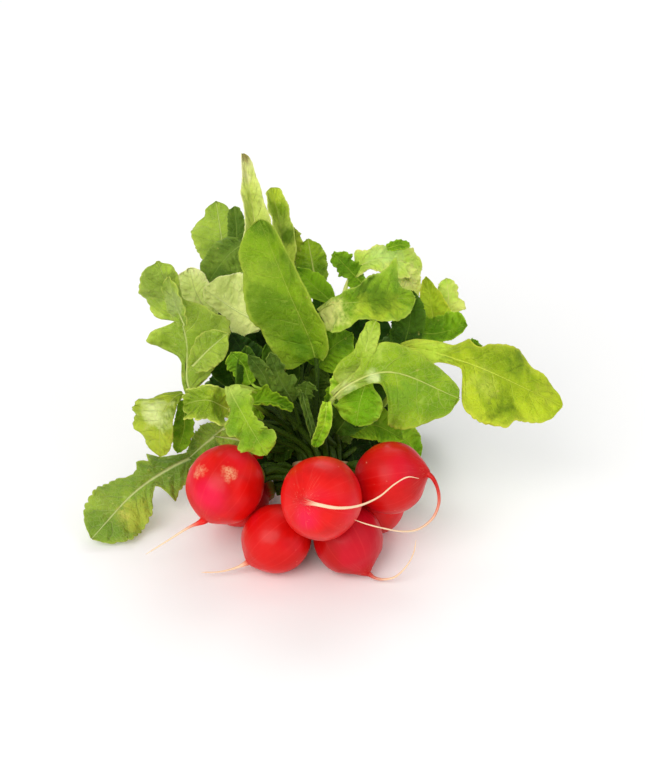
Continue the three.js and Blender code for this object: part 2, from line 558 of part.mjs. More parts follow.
// One radish: bulb, neck and tap root in one body, flat where it rests on the table.
function bulbGeometry(bulb) {
  const inside = bulb.root[0].clone().lerp(bulb.centre, 0.25);
  const steps = 2 + Math.round(bulb.root.length * 1.5);
  const root = taperedTube([inside, ...bulb.root], bulb.tail, 0.45, steps);
  const whole = solidOf(bulbBody(bulb)).add(solidOf(neckBody(bulb))).add(solidOf(root));
  const table = new THREE.BoxGeometry(400, 400, 20).translate(0, 0, REST_FLAT - 10);
  return geometryOf(whole.subtract(solidOf(table)));
}

// The leaves of one bulb, each as a solid. Those that cross are joined in one body, a spray, which
// takes the name and the green of its first leaf.
function spraysOf(bulb) {
  let sprays = [];
  for (const leaf of LEAVES.filter((each) => each.bulb === bulb.name)) {
    const { name, green } = leaf;
    const spray = { name, green, solid: solidOf(leafGeometry(leaf)) };
    const crossed = sprays.filter((other) => other.solid.intersect(spray.solid).volume() > 0);
    for (const other of crossed) spray.solid = spray.solid.add(other.solid).simplify(SLIVER);
    if (crossed.length > 0) {
      spray.name = crossed[0].name.replace("leaf_", "leaves_");
      spray.green = crossed[0].green;
    }
    sprays = [...sprays.filter((other) => !crossed.includes(other)), spray];
  }
  return sprays;
}

// The band: a flat ring round the stalks, with its gap.
function bandGeometry() {
  const inner = BUNDLE_RADIUS + GAP;
  const outer = inner + BAND_THICKNESS;
  const h = BAND_WIDTH / 2;
  const profile = [
    new THREE.Vector2(inner, -h),
    new THREE.Vector2(outer, -h),
    new THREE.Vector2(outer, h),
    new THREE.Vector2(inner, h),
    new THREE.Vector2(inner, -h),
  ];
  return aimLathe(new THREE.LatheGeometry(profile, BAND_SIDES), TIE_AXIS, TIE_CENTRE);
}

function mesh(name, geometry, color, roughness) {
  const material = new THREE.MeshStandardMaterial({ color, roughness, metalness: 0 });
  const made = new THREE.Mesh(geometry, material);
  made.name = name;
  return made;
}

for (const leaf of LEAVES) leaf.slot = slotOf(leaf);
BULBS.forEach(seatOnNeck);

const bunch = new THREE.Group();
for (const bulb of BULBS) bunch.add(mesh(bulb.name, bulbGeometry(bulb), RED, ROOT_ROUGHNESS));
for (const { name, green, solid } of BULBS.flatMap(spraysOf))
  bunch.add(mesh(name, geometryOf(solid), GREENS[green], LEAF_ROUGHNESS));
bunch.add(mesh("band", bandGeometry(), BAND_COLOUR, BAND_ROUGHNESS));

const box = new THREE.Box3().setFromObject(bunch);
bunch.position.set(-(box.min.x + box.max.x) / 2, -(box.min.y + box.max.y) / 2, -box.min.z);

export default bunch;
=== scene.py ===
"""Finish of a bunch of red radishes: glossy bulbs with tap roots, veined leaves and the band.

Sizes are in millimetres about the bunch's working origin, on the table under the two front bulbs,
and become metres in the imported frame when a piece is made.
"""

import logging
import math
from bisect import bisect_right
from dataclasses import KW_ONLY, dataclass
from enum import Enum
from typing import Callable, ClassVar, Iterator, Sequence

import bmesh
import bpy
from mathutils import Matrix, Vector, noise


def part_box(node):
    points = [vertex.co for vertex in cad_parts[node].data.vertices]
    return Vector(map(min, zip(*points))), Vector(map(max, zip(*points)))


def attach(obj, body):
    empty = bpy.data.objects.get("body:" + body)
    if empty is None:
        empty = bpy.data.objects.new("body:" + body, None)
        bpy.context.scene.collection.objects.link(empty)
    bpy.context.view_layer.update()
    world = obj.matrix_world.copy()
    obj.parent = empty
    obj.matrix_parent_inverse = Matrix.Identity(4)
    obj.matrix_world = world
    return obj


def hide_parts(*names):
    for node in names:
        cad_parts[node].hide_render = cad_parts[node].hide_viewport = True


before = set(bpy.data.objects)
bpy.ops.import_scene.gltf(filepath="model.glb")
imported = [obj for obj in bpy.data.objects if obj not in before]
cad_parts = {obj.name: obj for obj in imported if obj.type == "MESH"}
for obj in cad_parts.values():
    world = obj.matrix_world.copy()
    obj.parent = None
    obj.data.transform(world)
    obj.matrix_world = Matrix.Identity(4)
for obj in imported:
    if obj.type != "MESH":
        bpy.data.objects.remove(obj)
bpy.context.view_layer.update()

log = logging.getLogger("radishes")

MM = 0.001
Triple = tuple[float, float, float]
Colour = tuple[float, float, float]
Knots = tuple[tuple[float, float], ...]
Formula = Callable[[float], float]
Place = Callable[[float, float], Vector]
UvMap = tuple[str, Callable[[float, float], tuple[float, float]]]
Socket = bpy.types.NodeSocket
Value = Socket | float

# The tie: its middle, the way in which the stalks run through it, and two directions across it.
TIE_CENTRE = Vector((4, 43.5, 21))
TIE_AXIS = Vector((0, 0.62, 0.78)).normalized()
TIE_SIDE = Vector((1, 0, 0))
TIE_TOP = -TIE_AXIS.cross(TIE_SIDE)

# The stalks lie in rings in the tie, straight for a little way on each side of it.
STALK_PITCH = 3.15
RING_ROOM = (5, 12, 18)
STRAIGHT = 5.0

# The neck of a radish, and the ring in which its stalks stand on it.
NECK_HEIGHT = 2.2
NECK_RADIUS = 4.4
SEAT_RADIUS = 2.5

# The air left between a piece and its neighbour or the table. Vertices closer than DOUBLE meet.
GAP = 0.3
DOUBLE = 1e-7


def origin() -> Vector:
    """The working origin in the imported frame, in metres, from where the band was packed."""
    low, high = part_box("band")
    return (low + high) / 2 - TIE_CENTRE * MM


ORIGIN = origin()


def placed(point: Vector, above: float = GAP) -> Vector:
    """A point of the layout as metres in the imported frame, kept no lower than the table."""
    return ORIGIN + Vector((point.x, point.y, max(point.z, above))) * MM


def mix(a: float, b: float, share: float) -> float:
    """The value at a share of the way from a to b."""
    return a + (b - a) * share


def smooth(low: float, high: float, x: float) -> float:
    """An even rise from 0 at low to 1 at high."""
    t = min(1.0, max(0.0, (x - low) / (high - low)))
    return t * t * (3 - 2 * t)


def bell(x: float, middle: float, width: float) -> float:
    """A bell curve, which is 1 at the middle."""
    return math.exp(-(((x - middle) / width) ** 2))


def outline(knots: Knots, x: float) -> float:
    """A smooth outline through its knots, which never swings past them.

    Args:
        knots: Places and values, by rising place.
        x: The place asked for.

    Returns:
        The value there.
    """
    i = max(1, min(len(knots) - 1, sum(1 for place, _ in knots if place <= x)))

    def steepness(j: int) -> float:
        """The slope of the straight line from the knot before j to knot j."""
        (x0, y0), (x1, y1) = knots[j - 1], knots[j]
        return (y1 - y0) / (x1 - x0)

    def tangent(j: int) -> float:
        """The slope of the outline at knot j, which is level where the knots turn back."""
        if j in (0, len(knots) - 1):
            return steepness(max(j, 1))
        a, b = steepness(j), steepness(j + 1)
        return 0.0 if a * b <= 0 else 2 * a * b / (a + b)

    (x0, y0), (x1, y1) = knots[i - 1], knots[i]
    span = x1 - x0
    t = min(1.0, max(0.0, (x - x0) / span))
    return (
        y0 * (1 + 2 * t) * (1 - t) ** 2
        + y1 * t * t * (3 - 2 * t)
        + span * (tangent(i - 1) * t * (1 - t) ** 2 - tangent(i) * t * t * (1 - t))
    )


class Curve:
    """A smooth centripetal curve through points, sampled FINE times between each two."""

    FINE = 48

    def __init__(self, points: Sequence[Vector]) -> None:
        """Samples the curve.

        Args:
            points: The points that the curve passes, in millimetres.
        """
        self.points = [Vector(p) for p in points]
        spans = len(self.points) - 1
        self.samples = [self._at(i / self.FINE) for i in range(spans * self.FINE + 1)]
        self.lengths = [0.0]
        for a, b in zip(self.samples, self.samples[1:]):
            self.lengths.append(self.lengths[-1] + (b - a).length)

    def _at(self, t: float) -> Vector:
        """The point at a place on the curve.

        Args:
            t: The place, whose whole part counts the spans before it.

        Returns:
            The point.
        """
        p = self.points
        i = min(int(t), len(p) - 2)
        w = t - i
        p1, p2 = p[i], p[i + 1]
        p0 = p[i - 1] if i > 0 else p1 * 2 - p2
        p3 = p[i + 2] if i + 2 < len(p) else p2 * 2 - p1
        d0, d1, d2 = (max((b - a).length, 1e-6) ** 0.5 for a, b in ((p0, p1), (p1, p2), (p2, p3)))
        m1 = ((p1 - p0) / d0 - (p2 - p0) / (d0 + d1) + (p2 - p1) / d1) * d1
        m2 = ((p2 - p1) / d1 - (p3 - p1) / (d1 + d2) + (p3 - p2) / d2) * d1
        return (
            p1
            + m1 * w
            + (p1 * -3 + p2 * 3 - m1 * 2 - m2) * w**2
            + (p1 * 2 - p2 * 2 + m1 + m2) * w**3
        )

    @property
    def length(self) -> float:
        """The length of the curve in millimetres."""
        return self.lengths[-1]

    def share_at(self, index: int) -> float:
        """The share of the length at which the curve passes its point number index."""
        return self.lengths[index * self.FINE] / self.length

    def at(self, share: float) -> Vector:
        """The point at a share of the length.

        Args:
            share: The share, which is held between 0 and 1.

        Returns:
            The point, on the straight line between two samples.
        """
        goal = min(1.0, max(0.0, share)) * self.length
        high = min(bisect_right(self.lengths, goal), len(self.lengths) - 1)
        low = high - 1
        step = self.lengths[high] - self.lengths[low]
        part = (goal - self.lengths[low]) / step if step > 0 else 0.0
        return self.samples[low].lerp(self.samples[high], part)


@dataclass
class Station:
    """One place on a spine, with its directions."""

    place: Vector
    ahead: Vector
    normal: Vector
    side: Vector


class Spine:
    """Stations along a curve, in STEPS even steps, whose normals turn with it to look at a face."""

    STEPS = 240

    def __init__(self, curve: Curve, face: Vector, anchor: float) -> None:
        """Settles the stations.

        Args:
            curve: The curve that the spine follows.
            face: The way in which the normal looks at the anchor.
            anchor: The share of the length at which it does.
        """
        self.length = curve.length
        steps = self.STEPS
        places = [curve.at(i / steps) for i in range(steps + 1)]
        self.stations: list[Station] = []
        for i, place in enumerate(places):
            ahead = (places[min(steps, i + 1)] - places[max(0, i - 1)]).normalized()
            self.stations.append(Station(place, ahead, Vector(face), Vector(face)))
        start = round(anchor * steps)
        self._settle(start, face)
        for i in range(start + 1, steps + 1):
            self._settle(i, self.stations[i - 1].normal)
        for i in range(start - 1, -1, -1):
            self._settle(i, self.stations[i + 1].normal)

    def _settle(self, index: int, normal: Vector) -> None:
        """Turns a wished normal square to the spine at one station.

        Args:
            index: The station's number.
            normal: The normal that it should have.
        """
        s = self.stations[index]
        s.normal = (normal - s.ahead * normal.dot(s.ahead)).normalized()
        s.side = s.ahead.cross(s.normal)

    def at(self, share: float) -> Station:
        """The station at a share of the length.

        Args:
            share: The share, which is held between 0 and 1.

        Returns:
            A station between its two neighbours.
        """
        x = min(1.0, max(0.0, share)) * self.STEPS
        i = min(int(x), self.STEPS - 1)
        a, b = self.stations[i], self.stations[i + 1]
        w = x - i
        return Station(
            a.place.lerp(b.place, w),
            a.ahead.lerp(b.ahead, w).normalized(),
            a.normal.lerp(b.normal, w).normalized(),
            a.side.lerp(b.side, w).normalized(),
        )


def made_object(
    bm: bmesh.types.BMesh, name: str, materials: Sequence[bpy.types.Material]
) -> bpy.types.Object:
    """A smooth mesh object of a finished bmesh, which rides on the bunch.

    Args:
        bm: The mesh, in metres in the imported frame. It is freed.
        name: The piece's name.
        materials: The materials of its slots.

    Returns:
        The object, at the origin, unturned and unscaled.
    """
    for face in bm.faces:
        face.smooth = True
    mesh = bpy.data.meshes.new(name)
    bm.to_mesh(mesh)
    bm.free()
    piece = bpy.data.objects.new(name, mesh)
    for material in materials:
        mesh.materials.append(material)
    bpy.context.scene.collection.objects.link(piece)
    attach(piece, "root")
    return piece


def grid(
    bm: bmesh.types.BMesh, across: int, along: int, place: Place, maps: Sequence[UvMap] = ()
) -> list[bmesh.types.BMVert]:
    """Adds a grid, moves its vertices to where a formula puts them and joins those that meet.

    Args:
        bm: The mesh that takes the grid.
        across: How many faces lie side by side.
        along: How many rows of them there are.
        place: Gives a vertex its place from its shares across and along, 0 to 1.
        maps: Names of UV layers, each with the formula of its coordinates.

    Returns:
        The vertices that are left.
    """
    verts = bmesh.ops.create_grid(bm, x_segments=across, y_segments=along, size=0.5)["verts"]
    shares = {v: (v.co.x + 0.5, v.co.y + 0.5) for v in verts}
    faces = list({f for v in verts for f in v.link_faces})
    for name, formula in maps:
        layer = bm.loops.layers.uv.get(name) or bm.loops.layers.uv.new(name)
        for face in faces:
            for loop in face.loops:
                loop[layer].uv = formula(*shares[loop.vert])
    for vert, (x, y) in shares.items():
        vert.co = place(x, y)
    bmesh.ops.remove_doubles(bm, verts=verts, dist=DOUBLE)
    return [v for v in verts if v.is_valid]


def tube(
    bm: bmesh.types.BMesh,
    spine: Spine,
    shares: tuple[float, float],
    radius: Formula,
    sides: int,
    rings: int,
    maps: Sequence[UvMap] = (),
    groove: float = 0.0,
    sunk: Formula | None = None,
) -> None:
    """Adds a closed round tube along part of a spine.

    Args:
        bm: The mesh that takes the tube.
        spine: What the tube follows.
        shares: Where on the spine it begins and ends.
        radius: Its radius in millimetres at a share of its own length.
        sides: How many faces lie round it.
        rings: How many lie along it.
        maps: UV layers, as for a grid.
        groove: How deep the upper side is channelled, as a share of the radius.
        sunk: How far the tube lies below the spine, in millimetres, at a share of its length.
    """

    def place(x: float, y: float) -> Vector:
        """A point of the tube, from its shares round it and along it."""
        station = spine.at(mix(shares[0], shares[1], y))
        angle = 2 * math.pi * x
        r = radius(y) * (1 - groove * max(0.0, math.cos(angle)) ** 3)
        rise = r * math.cos(angle) - (sunk(y) if sunk else 0.0)
        return placed(station.place + station.normal * rise + station.side * (r * math.sin(angle)))

    verts = grid(bm, sides, rings, place, maps)
    ends = list({e for v in verts for e in v.link_edges if e.is_boundary})
    bmesh.ops.holes_fill(bm, edges=ends, sides=sides + 1)
    bmesh.ops.recalc_face_normals(bm, faces=list({f for v in verts for f in v.link_faces}))


class Finish:
    """A material whose nodes are added one by one."""

    def __init__(self, name: str) -> None:
        """Starts a material with a single Principled shader.

        Args:
            name: The material's name.
        """
        self.material = bpy.data.materials.new(name)
        self.material.use_nodes = True
        self.tree = self.material.node_tree
        self.shader = self.tree.nodes["Principled BSDF"]

    def feed(self, source: Value | Colour | Vector, target: Socket) -> None:
        """Links a socket to another, or sets its value.

        Args:
            source: The other socket, or the value. A tuple fills what the socket has room for.
            target: The socket that is fed.
        """
        if isinstance(source, bpy.types.NodeSocket):
            self.tree.links.new(source, target)
        elif isinstance(source, tuple):
            target.default_value = (*source, 1.0)[: len(target.default_value)]
        else:
            target.default_value = source

    def node(
        self, kind: str, inputs: dict[str | int, Value | Colour | Vector], **settings: object
    ) -> bpy.types.Node:
        """Adds a node.

        Args:
            kind: Its type.
            inputs: What feeds its inputs, by name or number.
            settings: Its own settings.

        Returns:
            The node.
        """
        made = self.tree.nodes.new(kind)
        for key, value in settings.items():
            setattr(made, key, value)
        for key, value in inputs.items():
            self.feed(value, made.inputs[key])
        return made

    def math(self, kind: str, a: Value, b: Value = 0.0, clamp: bool = False) -> Socket:
        """The result of one sum on two values."""
        made = self.node("ShaderNodeMath", {0: a, 1: b}, operation=kind, use_clamp=clamp)
        return made.outputs[0]

    def times(self, a: Value, b: Value) -> Socket:
        """The product of two values."""
        return self.math("MULTIPLY", a, b)

    def rise(
        self, value: Socket, low: float, high: float, to: tuple[float, float] = (0.0, 1.0)
    ) -> Socket:
        """A smooth step of a value.

        Args:
            value: The value.
            low: Where the step begins.
            high: Where it ends.
            to: What it gives before and after it.

        Returns:
            The step's result.
        """
        names = ("Value", "From Min", "From Max", "To Min", "To Max")
        inputs = dict(zip(names, (value, low, high, *to)))
        made = self.node("ShaderNodeMapRange", inputs, interpolation_type="SMOOTHSTEP")
        return made.outputs["Result"]

    def blend(self, share: Value, a: Socket | Colour, b: Socket | Colour) -> Socket:
        """A colour between two.

        Args:
            share: How much of the second colour there is.
            a: The first colour.
            b: The second colour.

        Returns:
            The blended colour.
        """
        made = self.node("ShaderNodeMix", {0: share, 6: a, 7: b}, data_type="RGBA")
        return made.outputs[2]

    def noise(
        self, vector: Socket, scale: float, detail: float = 3.0, distortion: float = 0.0
    ) -> Socket:
        """A cloudy pattern, as a value about 0.5."""
        inputs = {"Vector": vector, "Scale": scale, "Detail": detail, "Distortion": distortion}
        return self.node("ShaderNodeTexNoise", inputs).outputs["Fac"]

    def swing(self, cloudy: Socket, by: float) -> Socket:
        """A cloudy pattern as a value about 0, made larger or smaller."""
        return self.times(self.math("SUBTRACT", cloudy, 0.5), by)

    def cells(self, vector: Socket, scale: float, feature: str = "DISTANCE_TO_EDGE") -> Socket:
        """Irregular cells, by how far a point is from their edges or middles."""
        inputs = {"Vector": vector, "Scale": scale}
        return self.node("ShaderNodeTexVoronoi", inputs, feature=feature).outputs["Distance"]

    def distance(self, place: Socket, spot: Triple) -> Socket:
        """How far a place is from a spot of the design, in metres."""
        inputs = {0: place, 1: placed(Vector(spot))}
        return self.node("ShaderNodeVectorMath", inputs, operation="DISTANCE").outputs["Value"]

    def reached(self, place: Socket, spot: Triple, reach: float, ragged: Socket) -> Socket:
        """How far a place is from a spot, in reaches of so many millimetres, raggedly."""
        far = self.math("DIVIDE", self.distance(place, spot), reach * MM)
        return self.math("ADD", far, ragged)

    def object_place(self) -> Socket:
        """The place on the object."""
        return self.node("ShaderNodeTexCoord", {}).outputs["Object"]

    def map_place(self, layer: str) -> tuple[Socket, Socket, Socket]:
        """Reads a UV layer.

        Args:
            layer: Its name.

        Returns:
            The place on it as a vector, and its two parts.
        """
        uv = self.node("ShaderNodeUVMap", {}, uv_map=layer).outputs["UV"]
        parts = self.node("ShaderNodeSeparateXYZ", {0: uv}).outputs
        return uv, parts[0], parts[1]

    def stretched(self, vector: Socket, scale: Triple) -> Socket:
        """A vector with its parts scaled."""
        return self.node("ShaderNodeMapping", {"Vector": vector, "Scale": scale}).outputs["Vector"]

    def bump(self, height: Socket, distance: float, strength: float) -> None:
        """Raises the surface, on top of any bump that it already has.

        Args:
            height: How high each place is.
            distance: What a height of 1 stands for, in metres.
            strength: How much of it is kept.
        """
        inputs = {"Strength": strength, "Distance": distance, "Height": height}
        links = self.shader.inputs["Normal"].links
        if links:
            inputs["Normal"] = links[0].from_socket
        self.set(Normal=self.node("ShaderNodeBump", inputs).outputs["Normal"])

    def set(self, **values: Value | Colour) -> None:
        """Feeds sockets of the shader, named with underscores for spaces."""
        for key, value in values.items():
            self.feed(value, self.shader.inputs[key.replace("_", " ")])

    def flesh(self, weight: float, scale: float, radius: Triple, gloss: float) -> None:
        """Sets how far light goes under the skin, in metres, and how much the skin mirrors."""
        self.set(Subsurface_Weight=weight, Subsurface_Scale=scale, Subsurface_Radius=radius)
        self.set(Specular_IOR_Level=gloss)


@dataclass(frozen=True)
class LeafColours:
    """Colours of one tone: the darker and lighter parts, the margin, the veins and the underside.

    base and tip say how pale the two ends of the blade are, and rib how broad its rib is. The spots
    are blotches, each a place, its reach in millimetres and its colour: the pale, yellow and brown
    ones are the leaf's own colour, the dark ones painted shade and some lighter ones painted light.
    """

    slot: str
    dark: Colour
    light: Colour
    edge: Colour
    vein: Colour
    under: Colour
    base: float = 0.0
    tip: float = 0.0
    rib: float = 1.0
    blotches_and_painted_shading: tuple[tuple[Triple, float, Colour], ...] = ()


class Green(Enum):
    """The tones of the leaves, from a leaf's place in the bunch and its age. The darkest tones, for the
    leaves and sheets inside the bunch, are painted shade.
    """

    BIG = LeafColours(
        "leaf_olive", (0.102, 0.215, 0.002), (0.215, 0.374, 0.006), (0.454, 0.567, 0.057),
        (0.522, 0.658, 0.091), (0.363, 0.51, 0.079), rib=0.75,
        blotches_and_painted_shading=(((-23.8, 62, 89.6), 12, (0.11, 0.22, 0.002)),
               ((-18.5, 105, 101.4), 9, (0.22, 0.36, 0.006)), ((-5.1, 52, 76), 7, (0.09, 0.22, 0.003))),
    )
    TALL = LeafColours(
        "leaf_bright", (0.496, 0.625, 0.071), (0.732, 0.861, 0.177), (0.95, 0.95, 0.425),
        (0.92, 0.95, 0.354), (0.732, 0.85, 0.26), tip=0.8,
        blotches_and_painted_shading=(((-30.6, 140, 123.6), 4.5, (0.3, 0.24, 0.06)),
               ((-29.2, 128, 105.3), 7, (0.46, 0.56, 0.07)), ((-31, 134, 115.6), 5, (0.82, 0.8, 0.36))),
    )
    UPRIGHT = LeafColours(
        "leaf_bright", (0.196, 0.322, 0.005), (0.529, 0.667, 0.04), (0.713, 0.805, 0.161),
        (0.69, 0.805, 0.177), (0.483, 0.598, 0.097),
        blotches_and_painted_shading=(((-11.1, 105, 101.4), 6, (0.1, 0.2, 0.004)),),
    )
    DULL = LeafColours(
        "leaf_olive", (0.255, 0.394, 0.026), (0.421, 0.579, 0.053), (0.561, 0.653, 0.106),
        (0.664, 0.764, 0.264), (0.485, 0.579, 0.158), rib=1.6,
        blotches_and_painted_shading=(((-66.7, 57, 100.5), 9, (0.44, 0.5, 0.15)), ((-57.9, 53, 96.6), 8, (0.34, 0.44, 0.12)),
               ((-41, 56, 89.9), 4.5, (0.09, 0.19, 0.008)), ((-48.2, 56, 73.9), 6, (0.24, 0.38, 0.02)),
               ((-66.7, 57, 101.4), 11, (0.2, 0.31, 0.02)), ((-63.8, 57, 73.3), 7, (0.2, 0.31, 0.012)),
               ((-47.7, 120, 94.4), 10, (0.16, 0.24, 0.02))),
    )
    PUCKERED = LeafColours(
        "leaf_deep", (0.09, 0.173, 0.015), (0.195, 0.3, 0.03), (0.3, 0.435, 0.053),
        (0.3, 0.435, 0.075), (0.3, 0.42, 0.09),
    )
    CREAM = LeafColours(
        "leaf_pale", (0.74, 0.88, 0.24), (0.88, 0.95, 0.38), (0.93, 0.95, 0.46), (0.55, 0.64, 0.2),
        (0.86, 0.95, 0.32),
        blotches_and_painted_shading=(((-36.6, 77, 90.4), 10, (0.54, 0.64, 0.16)),),
    )
    LIME = LeafColours(
        "leaf_bright", (0.234, 0.351, 0.009), (0.405, 0.513, 0.027), (0.522, 0.594, 0.088),
        (0.54, 0.63, 0.126), (0.405, 0.495, 0.088),
        blotches_and_painted_shading=(((-66, 32, 55.5), 9, (0.7, 0.8, 0.3)), ((-56.9, 36, 40.5), 6, (0.2, 0.32, 0.01))),
    )
    LOW = LeafColours(
        "leaf_olive", (0.15, 0.27, 0.02), (0.28, 0.42, 0.035), (0.46, 0.55, 0.07),
        (0.62, 0.7, 0.28), (0.35, 0.46, 0.09), rib=2.6,
        blotches_and_painted_shading=(((-74.2, 24, 9.4), 8, (0.42, 0.48, 0.05)), ((-80.7, 25, 7.7), 5, (0.66, 0.62, 0.12)),
               ((-77.9, 24, 2.2), 3, (0.7, 0.66, 0.16))),
    )
    FRESH = LeafColours(
        "leaf_bright", (0.157, 0.31, 0.004), (0.302, 0.47, 0.011), (0.493, 0.62, 0.054),
        (0.694, 0.77, 0.216), (0.403, 0.52, 0.072), base=0.6, rib=1.8,
        blotches_and_painted_shading=(((24.1, 39, 84.6), 8, (0.52, 0.7, 0.09)), ((25.3, 31, 72.7), 3.6, (0.76, 0.9, 0.36)),
               ((15.5, 31, 67.5), 3.5, (0.7, 0.82, 0.3)), ((16.3, 27, 62.8), 6.5, (0.13, 0.34, 0.008)),
               ((38, 31, 65.6), 9, (0.2, 0.38, 0.02))),
    )
    NEW = LeafColours(
        "leaf_bright", (0.189, 0.459, 0.003), (0.459, 0.756, 0.027), (0.702, 0.945, 0.108),
        (0.567, 0.837, 0.095), (0.567, 0.783, 0.135),
    )
    YELLOW = LeafColours(
        "leaf_bright", (0.251, 0.37, 0.004), (0.489, 0.616, 0.016), (0.74, 0.763, 0.067),
        (0.708, 0.858, 0.09), (0.555, 0.64, 0.078), base=0.7, rib=1.5,
        blotches_and_painted_shading=(((77, 36, 55.1), 9, (0.11, 0.18, 0.002)), ((94.8, 42, 57.8), 7, (0.42, 0.5, 0.03)),
               ((50.3, 80, 78.8), 12, (0.5, 0.68, 0.03)), ((48, 47, 72.6), 10, (0.64, 0.88, 0.07)),
               ((74.7, 37, 52.6), 11, (0.085, 0.15, 0.002)), ((68.5, 39, 64.3), 9, (0.56, 0.66, 0.08)),
               ((85.6, 42, 74.5), 8, (0.16, 0.27, 0.006))),
    )
    WAVY = LeafColours(
        "leaf_bright", (0.121, 0.275, 0.003), (0.286, 0.473, 0.013), (0.572, 0.748, 0.099),
        (0.528, 0.682, 0.11), (0.55, 0.704, 0.132), base=0.85,
        blotches_and_painted_shading=(((21.4, 57, 97.7), 6, (0.06, 0.14, 0.002)), ((37.1, 57, 98.7), 7, (0.07, 0.16, 0.002)),
               ((26.5, 56, 88.5), 11, (0.66, 0.8, 0.05)), ((16.6, 59, 87.9), 7, (0.6, 0.74, 0.1)),
               ((8.7, 61, 84), 11, (0.93, 0.95, 0.3)), ((15.8, 58, 78.5), 3, (0.78, 0.6, 0.12)),
               ((28, 56, 95), 8, (0.09, 0.2, 0.003)), ((24.6, 57, 106), 5, (0.07, 0.16, 0.003))),
    )
    RAGGED = LeafColours(
        "leaf_bright", (0.546, 0.78, 0.078), (0.858, 0.95, 0.208), (0.95, 0.95, 0.286),
        (0.91, 0.95, 0.338), (0.208, 0.39, 0.013),
        blotches_and_painted_shading=(((39.8, 98, 83.6), 7, (0.95, 0.95, 0.34)), ((34.3, 98, 95.2), 8, (0.62, 0.86, 0.2)),
               ((28.3, 98, 94.7), 6, (0.6, 0.86, 0.2))),
    )
    MOSS = LeafColours(
        "leaf_deep", (0.115, 0.27, 0.003), (0.284, 0.527, 0.011), (0.432, 0.675, 0.027),
        (0.459, 0.675, 0.068), (0.324, 0.54, 0.041),
    )
    # Painted shade: the leaves inside the bunch are coloured as dark as they look in its shade.
    INNER = LeafColours(
        "leaf_deep", (0.022, 0.07, 0.002), (0.07, 0.165, 0.005), (0.12, 0.24, 0.01),
        (0.16, 0.28, 0.03), (0.09, 0.18, 0.015),
    )
    # Painted shade: near black, for the sheets that fill the darkest gaps between the stalks.
    SHADE = LeafColours(
        "leaf_deep", (0.006, 0.022, 0.001), (0.02, 0.06, 0.002), (0.035, 0.09, 0.004),
        (0.05, 0.11, 0.01), (0.02, 0.06, 0.003),
    )
    # Partly painted shade: a muted dark green for the small leaves in the bunch's shade.
    DUSK = LeafColours(
        "leaf_deep", (0.05, 0.11, 0.006), (0.12, 0.21, 0.015), (0.24, 0.36, 0.05),
        (0.2, 0.31, 0.06), (0.13, 0.22, 0.03),
    )


